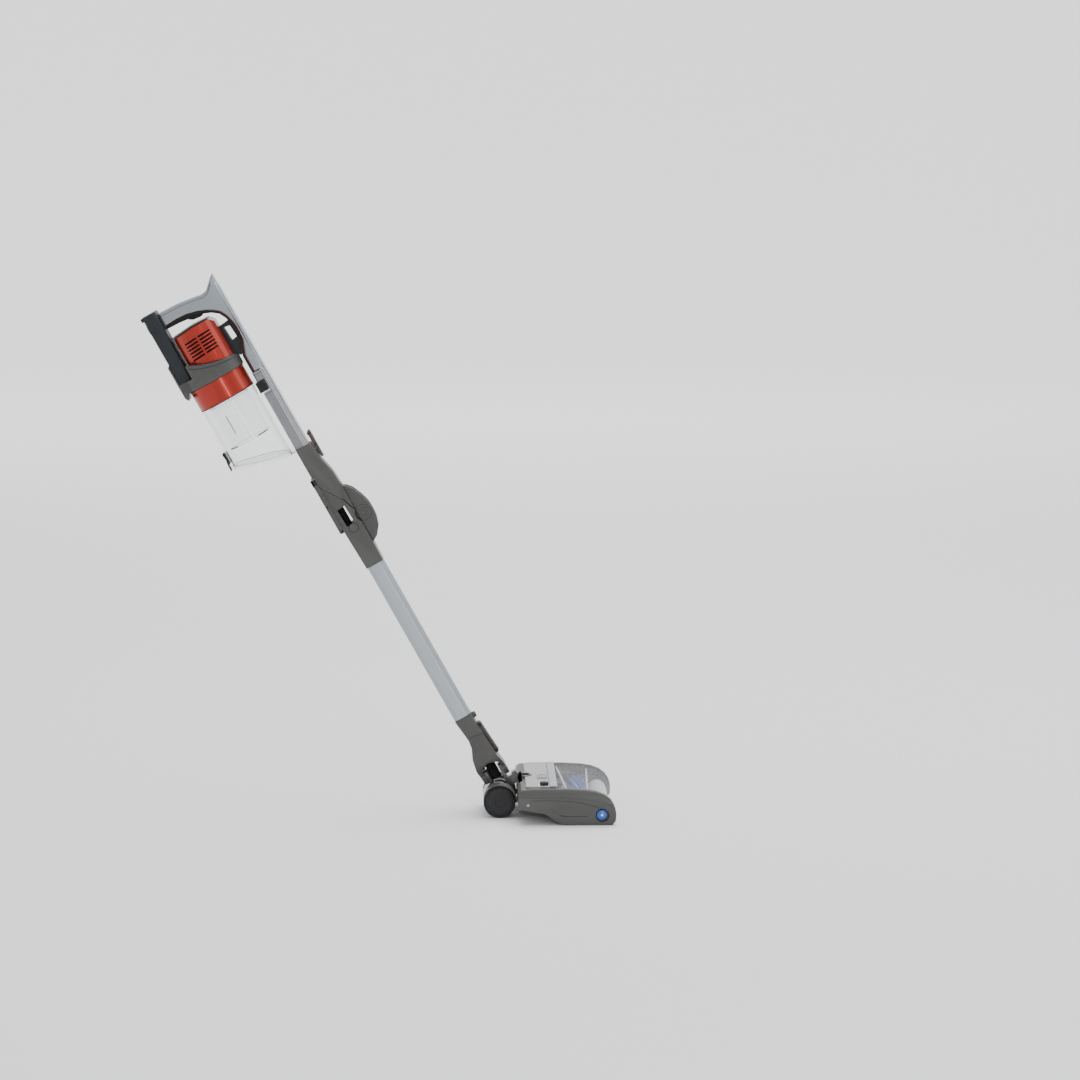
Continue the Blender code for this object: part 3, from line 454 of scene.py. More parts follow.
def zinc_steel(name, low="#8e9194", high="#a3a6a9"):
    """Zinc-plated or turned steel: bright, with the faint rings of the lathe, drawn at 0.5 mm."""
    material, shader = new_material(name)
    tone = tone_with_edge_highlight(material, low, high, "#c9cccf", 12.0)
    _, bump = fine_grain(material, 0.5, 0.008)
    feed(material, shader, {
        "Base Color": tone.outputs[2], "Metallic": 1.0, "Roughness": 0.3, "Normal": bump.outputs["Normal"]})
    return material


def cross_screw(name, centre, side, body, steel, place=WAND, radius=2.6):
    """A pan-head screw in the side of a casing, with a cross recess."""
    head = [(0, 0.0), (1.0, 0.0), (1.0, 0.5), (0.8, 1.0), (0.3, 1.2), (0, 0.7)]
    return spun(name, [(radius * r, side * y) for r, y in head], centre, "y", body, steel, place, 24)


def pushed(name, outline, low, high, axis, body, material, slot, place=WAND, edge=0.6, steps=2):
    """An outline pushed along one axis, with every corner rounded to a radius."""
    lay = {
        "x": lambda a, b, t: (t, a, b),
        "y": lambda a, b, t: (a, t, b),
        "z": lambda a, b, t: (a, b, t),
    }[axis]
    bm = bmesh.new()
    face = bm.faces.new([bm.verts.new(lay(a, b, low)) for a, b in outline])
    grown = bmesh.ops.extrude_face_region(bm, geom=[face])["geom"]
    moved = [v for v in grown if isinstance(v, bmesh.types.BMVert)]
    bmesh.ops.translate(bm, vec=Vector(lay(0, 0, high)) - Vector(lay(0, 0, low)), verts=moved)
    bmesh.ops.recalc_face_normals(bm, faces=bm.faces)
    if edge:
        sharp = [e for e in bm.edges if e.calc_face_angle(0.0) > math.radians(25)]
        bmesh.ops.bevel(
            bm, geom=sharp, offset=edge, offset_type="OFFSET", segments=steps, profile=0.5,
            affect="EDGES", clamp_overlap=True,
        )
    return fitted(bm, name, body, material, place)


def pushed_pair(name, outline, near, far, body, material, slot, **rest):
    """The same (X, Z) outline pushed sideways on both sides, from near to far out of the middle."""
    for side, word in SIDES:
        low, high = sorted((side * near, side * far))
        pushed(f"{name}_{word}", outline, low, high, "y", body, material, slot, **rest)


gap_shadow = dark_gap("parting_line_shadow")
zinc = zinc_steel("zinc_plated_steel")
groove = [(-104, 1101.5), (-67, 1100.5), (-42, 1098), (-22, 1094.5), (-10, 1095.5), (-2, 1101), (6, 1110)]
strand_pair("grip_groove", smooth_path(groove), 17.95, 0.45, "hand_unit", gap_shadow)
for number, (q, s) in enumerate([(-92, 1091), (-24, 1086), (9, 1072)]):
    cross_screw(f"grip_screw_{number}", (q, 17.6, s), 1, "hand_unit", zinc)
dimple = [(0, 0), (2.6, 0), (2.6, -0.35), (1.6, -0.5), (0, -0.2)]
spun("beak_dimple", dimple, (10.5, -17.7, 1115), "y", "hand_unit", zinc, sides=24)
bright_lacquer = silver_lacquer("bright_lacquer", "#c4cbd1", "#cfd6db", "#eceff2")
rounded_copy("spine_front_strip", "front_trim", "hand_unit", bright_lacquer, 0.7)
grey_lacquer = silver_lacquer("spine_lacquer", "#7a7c7e", "#838587", "#b3b5b7")
rounded_copy("spine_body", "spine_tube", "hand_unit", grey_lacquer, 2.0, outer_rim(17.4), steps=3)
# Painted highlight: pale lacquer strips laid over the spine's front corners, where the rounded edge would
# catch the light.
for side, word in SIDES:
    bm = bmesh.new()
    ends = []
    for s, wide in ((742.0, 8.5), (930.0, 8.5), (1000.0, 7.0), (1108.0, 3.0)):
        corner = [(17.9 - wide, 18.15), (18.4, 13.0), (17.2, 11.0), (16.0 - wide, 16.0)]
        ends.append([bm.verts.new((q, side * y, s)) for q, y in corner])
    skin(bm, ends)
    fitted(bm, f"spine_front_highlight_{word}", "hand_unit", bright_lacquer)
pad = [(-104, 1078), (-78, 1077), (-50, 1074), (-30, 1070), (-19, 1066), (-24, 1071.5), (-40, 1078.5),
       (-60, 1083.2), (-80, 1084.4), (-104, 1083)]
pushed_pair("grip_pad", pad, 15.0, 18.4, "hand_unit", liner_rubber, "rubber", edge=1.0, steps=3)
seam = [(17.3, -12.6), (13.5, -17.55), (-5.0, -17.55), (-8.9, -14.0)]
for number, s in enumerate((881.0, 922.0)):
    strand(f"spine_seam_{number}", [(q, y, s) for q, y in seam], 0.35, "hand_unit", gap_shadow)

# ------------------------------------------------------------------ trigger and bridge
# The power trigger and the bridge that ties the motor housing to the spine are moulded in black ABS.


def moulded_abs(name, low, high, edge, rough=(0.36, 0.5), grain_size=0.9, depth=0.02, shine=0.22):
    """ABS from a spark-eroded tool: an even satin, because a 0.2 mm grain breaks the highlight up. The grain
    is drawn at 0.9 mm so that it shows. Outer edges are paler: a painted highlight."""
    return grained_skin(name, (low, high, edge), 60.0, (grain_size, depth), rough, {
        "IOR": 1.54, "Specular IOR Level": shine})


black_abs = moulded_abs("black_abs", "#1c1d1e", "#252627", "#47494a")
rounded_copy("trigger_blade", "power_trigger", "trigger", black_abs, 1.2)
rounded_copy("bridge", "bridge_bracket", "hand_unit", black_abs, 0.8, outer_rim(10.9), steps=2,
             joined=0)

# ------------------------------------------------------------------ motor housing
# The motor sits in a shell of ABS under a copper-red metallic lacquer. Six slanted slots on each side let the
# air out; behind them a dark sheet is painted shade, for the shadow inside the housing. A grey cap closes the
# top.


def copper_lacquer(name):
    """Candy lacquer: red dye over aluminium flake, under a glossy clear coat. It glows where it mirrors
    a lamp and falls to a deep brown red elsewhere. The flake is 0.05 mm and is drawn at 0.7 mm."""
    # The pale third tone is the colour of the painted highlight along the convex edges.
    return grained_skin(name, ("#97291d", "#a23023", "#cf7a68"), 70.0, (0.7, 0.004), (0.24, 0.38), {
        "Metallic": 0.6, "Specular IOR Level": 0.25, "Coat Weight": 0.3, "Coat Roughness": 0.08})


copper = copper_lacquer("copper_red_lacquer")
rounded_copy("motor_shell", "motor_housing", "hand_unit", copper, 3.0, outer_rim(42.9), steps=4,
             crown=(-61.4, 43.0, 0.14))
# Painted shade: a dark sheet behind the slots, in the parting-line shadow colour, stands for the shadow
# inside.
vent_shade_outline = [(-92, 1040), (-30, 1044), (-30, 992), (-60, 996), (-92, 1004)]
pushed_pair("vent_painted_shade", vent_shade_outline, 36.5, 39.2, "hand_unit", gap_shadow, "black")
rib = [(-63.5, 1038), (-59.5, 1038.5), (-59.5, 1000.5), (-63.5, 999.5)]
pushed_pair("vent_rib", rib, 41.0, 48.4, "hand_unit", copper, "copper_red")
satin_grey = moulded_abs("satin_grey_abs", "#454543", "#4b4b49", "#737370", (0.3, 0.44))
rounded_copy("motor_top_cap", "motor_cap", "hand_unit", satin_grey, 1.0)

# ------------------------------------------------------------------ collar
# The grey collar carries the motor, the battery's foot and the cup. A parting line follows the foot of the
# motor shell round its side.
CUP_X, COLLAR_R, COLLAR_HALF = -72.0, 58.9, 57.0
rounded_copy("cup_collar", "main_collar", "hand_unit", satin_grey, 1.0, above(955))


def collar_side(q, side):
    """How far out the collar's side stands at a place along the wand's X."""
    return side * (min(COLLAR_HALF, math.sqrt(COLLAR_R ** 2 - (q - CUP_X) ** 2)) + 0.05)


line = [(-104, 992.5), (-90, 986), (-76, 981), (-60, 976.5), (-44, 973.5), (-30, 971.5), (-20, 970)]
for side, word in SIDES:
    fine = [(q, collar_side(q, side), s) for q, s in smooth_path(line, 4)]
    strand(f"collar_line_{word}", fine, 0.45, "hand_unit", gap_shadow)

# ------------------------------------------------------------------ battery
# A slab of dark slate ABS with a lipped cap behind the grip. Its foot is held by the collar, and the catch is
# a rubber-faced button on the back.
slate_abs = moulded_abs("slate_abs", "#1f2326", "#25292d", "#454b50", (0.42, 0.56))
rounded_copy("battery_body", "battery_case", "battery", slate_abs, 1.6,
             lambda a, b: abs(a.z - b.z) < 0.1)
rounded_copy("battery_lid", "battery_cap", "battery", slate_abs, 2.0, above(1107.5))
rounded_copy("battery_catch", "battery_button", "battery_catch", black_abs, 0.8)
panel = [(-131, 988), (-113, 984), (-112, 1006), (-118, 1014), (-127, 1012)]
pushed_pair("battery_latch_plate", panel, 30.6, 31.5, "battery", slate_abs, "dark", edge=0.4)
strand_pair("battery_latch_line", [*panel, panel[0]], 31.2, 0.45, "battery", gap_shadow)
for side, word in SIDES:
    spun(f"battery_badge_{word}", [(0, 0), (3.4, 0), (3.4, 0.3 * side), (2.9, 0.5 * side), (0, 0.5 * side)],
         (-121.0, side * 30.9, 1088), "y", "battery", slate_abs, sides=32)

# ------------------------------------------------------------------ cup ring
# A lacquered ring at the top of the cup is what the hand turns to lift it out: its lips are rolled and a thin
# dark seal shows under it.
CUP_TOP_S, RING_END_S, CUP_R = 952.0, 911.0, 55.0
ring_profile = [
    (41.5, CUP_TOP_S), (CUP_R + 0.2, CUP_TOP_S), (CUP_R + 0.9, CUP_TOP_S - 0.8), (CUP_R + 0.9, CUP_TOP_S - 3),
    (CUP_R + 0.4, CUP_TOP_S - 3.6), (CUP_R + 0.4, RING_END_S + 3.4), (CUP_R + 0.7, RING_END_S + 2.8),
    (CUP_R + 0.7, RING_END_S + 0.8), (CUP_R, RING_END_S), (CUP_R - 3.2, RING_END_S),
    (CUP_R - 3.2, CUP_TOP_S - 4), (41.5, CUP_TOP_S - 4),
]
ring = spun("cup_lock_ring", ring_profile, (CUP_X, 0.0, 0.0), "z", "cup", copper, sides=96)
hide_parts("cup_ring")
seal_rubber = soft_rubber("seal_rubber", "#171718", "#1f1f20")
seal = [(CUP_R - 1.2, 910.9), (CUP_R + 0.5, 910.9), (CUP_R + 0.5, 909.7), (CUP_R - 0.6, 909.3),
        (CUP_R - 0.78, 910.2)]
spun("cup_seal", seal, (CUP_X, 0.0, 0.0), "z", "cup", seal_rubber, sides=96)

# ------------------------------------------------------------------ clear cup
# The cup, its door and the sleeve inside are moulded in clear polycarbonate. The walls are thin, so they show
# mostly as bright edges and pale reflections; the brightest rims are painted highlights, pale beads laid
# along them.


def clear_polycarbonate(name, tint, rough):
    """Polished polycarbonate, 2 mm thick: water clear, a little grey in the depth of an edge, with hair
    scratches from dust that catch the light. Scratches are drawn 0.4 mm wide."""
    material, shader = new_material(name)
    place = add(material, "ShaderNodeTexCoord")
    stretch = add(material, "ShaderNodeMapping", {
        "Vector": place.outputs["Object"], "Scale": (900.0, 900.0, 60.0)})
    scratch = add(material, "ShaderNodeTexNoise", {
        "Vector": stretch.outputs["Vector"], "Scale": 1.0, "Detail": 3.0})
    gloss = add(material, "ShaderNodeMapRange", {
        "Value": scratch.outputs["Fac"], "To Min": rough, "To Max": rough + 0.08})
    cloud = add(material, "ShaderNodeTexNoise", {"Vector": place.outputs["Object"], "Scale": 18.0})
    tone = add(material, "ShaderNodeMix", {
        "Factor": cloud.outputs["Fac"], "A": linear(tint), "B": linear("#ffffff")}, data_type="RGBA")
    feed(material, shader, {
        "Base Color": tone.outputs[2], "Transmission Weight": 1.0, "IOR": 1.18,
        "Roughness": gloss.outputs["Result"]})
    ray = add(material, "ShaderNodeLightPath")
    through = add(material, "ShaderNodeBsdfTransparent")
    lit = add(material, "ShaderNodeMixShader", {"Fac": ray.outputs["Is Shadow Ray"]})
    material.node_tree.links.new(shader.outputs["BSDF"], lit.inputs[1])
    material.node_tree.links.new(through.outputs["BSDF"], lit.inputs[2])
    material.node_tree.links.new(lit.outputs["Shader"],
                                 material.node_tree.nodes["Material Output"].inputs["Surface"])
    return material


def sheer_polycarbonate(name, least, most):
    """The same plastic in a wall so thin that only its gloss and a faint milkiness show."""
    material, shader = new_material(name)
    place = add(material, "ShaderNodeTexCoord")
    cloud = add(material, "ShaderNodeTexNoise", {
        "Vector": place.outputs["Object"], "Scale": 22.0, "Detail": 2.0})
    tone = add(material, "ShaderNodeMix", {
        "Factor": cloud.outputs["Fac"], "A": linear("#e4e7e9"), "B": linear("#f6f7f8")}, data_type="RGBA")
    body = add(material, "ShaderNodeMapRange", {
        "Value": cloud.outputs["Fac"], "To Min": least, "To Max": most})
    feed(material, shader, {
        "Base Color": tone.outputs[2], "Alpha": body.outputs["Result"], "Roughness": 0.12})
    return material


def hoop(lay, radius, steps, start=0.0, end=360.0):
    """Points along an arc in degrees; lay turns the two offsets from its centre into a place."""
    turns = [math.radians(start + (end - start) * k / steps) for k in range(steps + 1)]
    return [lay(radius * math.cos(turn), radius * math.sin(turn)) for turn in turns]


clear = clear_polycarbonate("clear_polycarbonate", "#f8fafa", 0.0)
sheer = sheer_polycarbonate("sheer_polycarbonate", 0.06, 0.12)
# Painted highlight: a nearly opaque pale version of the sheer plastic, for beads along the clear rims.
rim_highlight_finish = sheer_polycarbonate("polycarbonate_rim_highlight", 0.7, 0.85)
rounded_copy("cup_bowl", "cup_wall", "cup", clear, 0.5, lambda a, b: min(a.z, b.z) < 800, steps=2)
rounded_copy("cup_floor", "cup_door", "door", clear, 0.5, None, steps=2)
sleeve = rounded_copy("inner_sleeve", "cyclone_shroud", "cup", sheer, 0.4, None, steps=2)
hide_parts("cyclone_cone")
# Pale beads on the sleeve's lower and upper rims are painted highlights of its clear edges.
for number, height in enumerate((822.6, 905.0)):
    bead = hoop(lambda a, b: (CUP_X + a, b, height), 41.4, 48)
    strand(f"sleeve_highlight_bead_{number}", bead, 0.5, "cup", rim_highlight_finish)

# ------------------------------------------------------------------ cup fittings
# A dark wiper slot shows through the sleeve, two brown clips hold its lower rim, a pale bead along the cup's
# slanting rim is a painted highlight of its clear edge, and a black catch and a steel pin hold the door.
brown_abs = moulded_abs("brown_grey_abs", "#413935", "#4b423d", "#6b5f58", (0.4, 0.52))
for number, (start, end) in enumerate(((190.0, 232.0), (296.0, 330.0))):
    arc = hoop(lambda a, b: (CUP_X + a, b, 823.0), 41.6, 8, start, end)
    strand(f"sleeve_clip_{number}", arc, 1.3, "cup", brown_abs)
strand("sleeve_slot", [(-88, -38.2, 846), (-88, -38.2, 866), (-88, -38.2, 884)], 0.7, "cup", gap_shadow)


def door_height(q):
    """Height of the cup's slanting rim."""
    return 792.0 + (764.0 - 792.0) / (2 * CUP_R) * (q - (CUP_X - CUP_R))


# Painted highlight: a pale bead along the cup's slanting rim.
rim = hoop(lambda a, b: (CUP_X + a, b, door_height(CUP_X + a) + 2.2), 54.4, 64, -14.0, -346.0)
strand("cup_rim_highlight_bead", rim, 1.2, "cup", rim_highlight_finish)
rounded_copy("door_catch_hook", "door_latch", "door_catch", black_abs, 0.5)
rounded_copy("door_pin", "door_hinge_pin", "cup", zinc, 0.3, steps=2)
rounded_copy("cup_catch_block", "cup_release_button", "cup_catch", black_abs, 1.2)
finger_pad = [(-10.5, 890), (2.5, 890), (2.5, 905), (-10.5, 905)]
pushed_pair("cup_catch_pad", finger_pad, 21.2, 21.8, "cup_catch", liner_rubber, "black", edge=0.25)

# ------------------------------------------------------------------ folding joint
# Two grey housings meet along a curved seam, and a half-moon cheek on each side carries the hinge pin. A
# release lever down the back and a lever with two dark buttons at the front work the catches.
FOLD_X, FOLD_S, BOSS_X, BOSS_S = 44.0, 600.0, 14.0, 584.0
outer_edges = outer_rim(19.9)


def front_rim(a, b):
    """Picks the edges at the front corners of the two housings."""
    return outer_edges(a, b) and min(a.x, b.x) > 22.5


for half, body in (("upper", "hand_unit"), ("lower", "lower_wand")):
    rounded_copy(f"fold_{half}_body", f"fold_{half}_housing", body, satin_grey, 5.5, front_rim,
                 steps=5, least=20.0)
front_fill = [(33.8, 668), (22.8, 642.4), (32.8, 615.5), (33.6, 624)]
pushed_pair("fold_front", front_fill, 14.7, 19.7, "hand_unit", satin_grey, "grey", edge=0.8, steps=3)
for side, word in SIDES:
    rounded_copy(f"half_moon_{word}", f"hinge_cover_{word}", "lower_wand", satin_grey, 1.6,
                 beyond(13.9))
    boss = hoop(lambda a, b: (BOSS_X + a, side * 20.5, BOSS_S + b), 8.6, 32)
    strand(f"hose_boss_line_{word}", boss, 0.55, "lower_wand", gap_shadow)
    for number, (radius, out) in enumerate(((15.2, 14.05), (5.6, 15.7))):
        circle = hoop(lambda a, b: (FOLD_X + a, side * out, FOLD_S + b), radius, 32)
        strand(f"hinge_circle_{number}_{word}", circle, 0.35, "lower_wand", gap_shadow)
rounded_copy("hinge_pin_caps", "fold_pin", "lower_wand", satin_grey, 0.5,
             beyond(15))
rounded_copy("fold_lever", "fold_release_lever", "fold_catch", satin_grey, 1.0)
for word, near, far, finish, slot, edge, outline in (
    ("back", 12.0, 22.2, satin_grey, "grey", 1.0, [(-13.4, 586), (-10.4, 585), (-10.0, 692), (-13.4, 698)]),
    ("flange", 20.9, 22.3, satin_grey, "grey", 0.5,
     [(-13.4, 586), (-4.6, 593), (-4.2, 678), (-7.4, 697), (-13.4, 698)]),
    ("cap", 11.0, 22.9, black_abs, "black", 0.6, [(-14.2, 686), (-9.9, 687), (-9.9, 698.4), (-14.2, 699.6)]),
    ("tip", 20.8, 22.9, black_abs, "black", 0.5, [(-14.2, 687), (-5.2, 688), (-6.8, 698), (-14.2, 699.6)]),
):
    pushed_pair(f"fold_lever_{word}", outline, near, far, "fold_catch", finish, slot, edge=edge)
rounded_copy("wand_lever", "wand_release_lever", "wand_catch", brown_abs, 1.0)
thick = [(25.2, 742), (27.9, 729.5), (31.1, 728.2), (31.5, 783), (28, 784.8), (24.4, 780.5)]
pushed("wand_lever_body", thick, -9.4, 9.4, "y", "wand_catch", brown_abs, "brown", edge=0.9)
for name, body, q, half, s, radius in (
    ("fold_lever_dot", "fold_catch", -10.2, 22.3, 642.0, 1.9),
    ("wand_lever_top_dot", "wand_catch", 28.6, 9.4, 778.0, 2.1),
    ("wand_lever_mid_dot", "wand_catch", 28.8, 9.4, 755.0, 2.0),
):
    dome = [(0, -0.5), (radius, -0.5), (radius, 0.15), (radius * 0.7, 0.35), (0, 0.35)]
    for side, word in SIDES:
        spun(f"{name}_{word}", [(r, side * y) for r, y in dome], (q, side * half, s), "y", body, gap_shadow,
             sides=20)

# ------------------------------------------------------------------ hoses
# Corrugated hoses of black thermoplastic elastomer bridge the fold and the steering joint. A closed wire
# helix gives them their ribs.


def hose(name, centre, low, high, radius, depth, pitch, node):
    """A ribbed tube that takes the place of a CAD hose."""
    ribs = round((high - low) / pitch)
    outer, inner = [], []
    for k in range(ribs * 8 + 1):
        height = low + pitch * k / 8
        wave = 0.5 - 0.5 * math.cos(2 * math.pi * k / 8)
        outer.append((radius - depth + depth * wave ** 0.7, height))
        inner.append((radius - depth - 1.2 + depth * wave ** 0.7, height))
    piece = spun(name, [*outer, *reversed(inner)], (*centre, 0.0), "z", None, hose_rubber, sides=48)
    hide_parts(node)
    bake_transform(piece)
    return piece


FOLD_HOSE, NECK_HOSE = (7.2, 0.0), (15.0, 0.0)
hose_rubber = soft_rubber("hose_elastomer", "#0f0f10", "#19191a", 0.5)
hose("fold_bellows", FOLD_HOSE, 581.0, 698.0, 8.2, 1.4, 3.6,
     "fold_hose")
hose("neck_bellows", NECK_HOSE, 33.0, 84.0, 10.6, 1.8, 3.4, "neck_hose")

# ------------------------------------------------------------------ wand tube
# The wand is a drawn aluminium tube with rounded corners, bead blasted and clear anodised. Fine drawing lines
# run along it, and its front face catches more light than its side.


def anodised_tube(name):
    """Anodised aluminium: satin, cool grey, with drawing lines 0.1 mm apart that are drawn at 1.2 mm."""
    material, shader = new_material(name)
    place = add(material, "ShaderNodeTexCoord")
    turn = add(material, "ShaderNodeMapping", {
        "Vector": place.outputs["Object"], "Rotation": (0.0, math.radians(29.0), 0.0)})
    lines = add(material, "ShaderNodeMapping", {
        "Vector": turn.outputs["Vector"], "Scale": (800.0, 800.0, 6.0)})
    drawn = add(material, "ShaderNodeTexNoise", {
        "Vector": lines.outputs["Vector"], "Scale": 1.0, "Detail": 2.0})
    tone = add(material, "ShaderNodeValToRGB", {"Fac": drawn.outputs["Fac"]})
    tone.color_ramp.elements[0].color = linear("#989fa4")
    tone.color_ramp.elements[1].color = linear("#a5abb0")
    gloss = add(material, "ShaderNodeMapRange", {
        "Value": drawn.outputs["Fac"], "To Min": 0.36, "To Max": 0.5})
    bump = add(material, "ShaderNodeBump", {
        "Height": drawn.outputs["Fac"], "Strength": 0.3, "Distance": 0.01 * MM})
    feed(material, shader, {
        "Base Color": tone.outputs["Color"], "Metallic": 0.75, "Roughness": gloss.outputs["Result"],
        "Normal": bump.outputs["Normal"]})
    return material


def rounded_section(x0, x1, half, radius, steps):
    """The outline of a rectangle with rounded corners."""
    points = []
    for cx, cy, start in (
        (x1 - radius, half - radius, 0), (x0 + radius, half - radius, 90),
        (x0 + radius, -half + radius, 180), (x1 - radius, -half + radius, 270),
    ):
        for k in range(steps + 1):
            turn = math.radians(start + 90 * k / steps)
            points.append((cx + radius * math.cos(turn), cy + radius * math.sin(turn)))
    return points


tube_metal = anodised_tube("anodised_aluminium")
bm = bmesh.new()
rings = []
for s, shrink in (
    (168.3, 1.6), (168.3, 0.3), (168.6, 0.0), (336.0, 0.0),
    (503.7, 0.0), (504.0, 0.3), (504.0, 1.6), (336.0, 1.6),
):
    section = rounded_section(-2.0 + shrink, 32.0 - shrink, 18.0 - shrink, 10.0 - shrink, 10)
    rings.append([bm.verts.new((x, y, s)) for x, y in section])
for first, second in zip(rings, [*rings[1:], rings[0]]):
    for n in range(len(first)):
        after = (n + 1) % len(first)
        bm.faces.new((first[n], first[after], second[after], second[n]))
tube = fitted(bm, "wand_pipe", "lower_wand", tube_metal)
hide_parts("wand_tube")

# ------------------------------------------------------------------ neck
# The grey neck grips the tube above and straddles the yoke below, hinged to it by two steel pins. A stud
# button locks the tube, and a brown pedal with black end caps frees the head.
rounded_copy("neck_body", "neck_housing", "lower_wand", satin_grey, 4.5,
             lambda a, b: abs(a.y) > 17 and abs(b.y) > 17 and min(a.z, b.z) > 50, steps=4, least=40)
for number, y in enumerate((-18.15, 18.15)):
    seam = [(4.6, y, 127.5), (18.6, y, 126.5), (32.6, y, 124.0)]
    strand(f"neck_seam_{number}", seam, 0.4, "lower_wand", gap_shadow)
# Painted shade: a dark sheet inside the neck, behind the hose, so that the open neck reads dark inside.
neck_shade_outline = [(-3.2, 66.0), (-3.2, 59.5), (3.6, 59.5), (3.6, 67.5)]
pushed("neck_painted_shade", neck_shade_outline, -12.0, 12.0, "y", "lower_wand", gap_shadow, "black")
rounded_copy("head_pedal", "nozzle_release_pedal", "pedal", brown_abs, 0.8)
PEDAL_HALF = 10.15
for word, outline in (
    ("top", [(33.9, 136.5), (40.3, 136.5), (39.9, 141.4), (36.9, 145.3), (33.8, 145.3)]),
    ("foot", [(37.4, 85), (37.5, 78.8), (41.3, 76.7), (44.1, 79.9), (43.6, 85)]),
):
    pushed(f"pedal_{word}_cap", outline, -PEDAL_HALF, PEDAL_HALF, "y", "pedal", black_abs, "black", edge=0.6)
stud = [(0, 30.5), (5.9, 30.5), (5.9, 36.8), (5.2, 38.4), (3.4, 39.3), (0, 39.3)]
spun("tube_stud_cap", stud, (0.0, 0.0, 161.0), "x", "lower_wand", satin_grey, sides=40)
stud_dot = [(0, 39.0), (2.2, 39.0), (2.2, 39.5), (0, 39.5)]
spun("tube_stud_dot", stud_dot, (0.0, 0.0, 161.0), "x", "lower_wand", gap_shadow, sides=24)
for word in ("front", "back"):
    rounded_copy(f"steering_pin_{word}", f"steer_pin_{word}", "lower_wand", zinc, 0.5, steps=2)

# ------------------------------------------------------------------ yoke and axle
# The yoke is a grey drum that turns on the steel axle between the wheels, with two lugs up into the neck and
# a nose that drops into the head when the wand stands upright. A dark plate behind the neck's hose is painted
# shade, for the shadow inside the neck.
gloss_grey = moulded_abs("gloss_grey_abs", "#434341", "#4a4a48", "#757572", (0.14, 0.24), 1.4, 0.008, 0.6)
rounded_copy("yoke_drum", "yoke", "yoke", gloss_grey, 0.8, beyond(30), steps=2)
# Painted shade: a dark plate in the parting-line shadow colour fills the shadowed gap beside the hose.
yoke_shade_outline = [(2.0, 28), (5.4, 28), (5.4, 56), (2.0, 56)]
pushed("yoke_painted_shade", yoke_shade_outline, -8.0, 8.0, "y", "yoke", gap_shadow, "black")
rounded_copy("axle_rod", "axle", "head", zinc, 0.5, steps=2)

# ------------------------------------------------------------------ wheels
# Each wheel is a dark ABS disc with a soft black tyre. The disc is stepped in rings round a shallow hub, and
# the tyre has a rounded shoulder and fine tread lines.
WHEEL_INNER_Y = 39.0
tyre_rubber = soft_rubber("tyre_rubber", "#1b1b1c", "#232324")
disc_abs = moulded_abs("wheel_disc_abs", "#212122", "#282829", "#3f3f40", (0.4, 0.54))
for side, word in SIDES:
    tread = [(25.2, 1.0), (28.0, 0.0), (29.4, 0.7), (WHEEL_R, 2.6)]
    for k in range(5):
        y = 4.2 + 2.6 * k
        tread += [(WHEEL_R, y), (WHEEL_R - 0.45, y + 0.3), (WHEEL_R - 0.45, y + 0.7), (WHEEL_R, y + 1.0)]
    tread += [(WHEEL_R, 17.4), (29.4, 19.3), (28.0, 20.0), (25.2, 19.0)]
    tyre = spun(f"tyre_{word}", [(r, side * (WHEEL_INNER_Y + y)) for r, y in tread], (0.0, 0.0, WHEEL_R), "y",
                f"wheel_{word}", tyre_rubber, HEAD, 96)
    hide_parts(f"wheel_tyre_{word}")
    face = [(4.3, 0.0), (25.0, 1.0), (25.0, 19.0), (24.0, 19.3), (21.5, 19.3), (21.0, 18.7), (12.5, 18.3),
            (12.0, 18.8), (9.0, 18.8), (8.5, 18.1), (0.0, 18.0), (0.0, 15.8), (4.3, 15.8)]
    disc = spun(f"wheel_disc_{word}", [(r, side * (WHEEL_INNER_Y + y)) for r, y in face],
                (0.0, 0.0, WHEEL_R), "y", f"wheel_{word}", disc_abs, HEAD, 96)
    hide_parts(f"wheel_hub_{word}")

# ------------------------------------------------------------------ floor head shells
# The head is two grey ABS shells with a cheek at each end. The parting line runs along the cheek, whose side
# carries a raised line and a pressed groove, and a round recess shows the end of the front roller.
HEAD_HALF = 125.0
cheek_edge = outer_rim(124.9)
rounded_copy("head_lower_shell", "head_base", "head", satin_grey, 3.0,
             lambda a, b: cheek_edge(a, b) and max(a.z, b.z) < 30, HEAD, 4, 20.0)
rounded_copy("head_upper_shell", "head_cover", "head", satin_grey, 5.0,
             lambda a, b: cheek_edge(a, b) and max(a.z, b.z) > 56, HEAD, 5, 8.0)
for name, path, radius, finish in (
    ("panel_line", [(58, 47), (90, 47.5), (121, 46.5), (150, 43), (172, 37), (188, 31.5)], 0.35, gap_shadow),
    ("raised_line", [(95, 36), (99, 29.5), (106, 24)], 0.8, satin_grey),
    ("groove", [(110, 19.5), (122, 17.5), (145, 17.2), (166, 17.6)], 0.5, gap_shadow),
):
    strand_pair(f"cheek_{name}", smooth_path(path), HEAD_HALF + 0.05, radius, "head", finish, HEAD)
for side, word in SIDES:
    cross_screw(f"cheek_screw_{word}", (52.0, side * 124.7, 38.5), side, "head", zinc, HEAD)

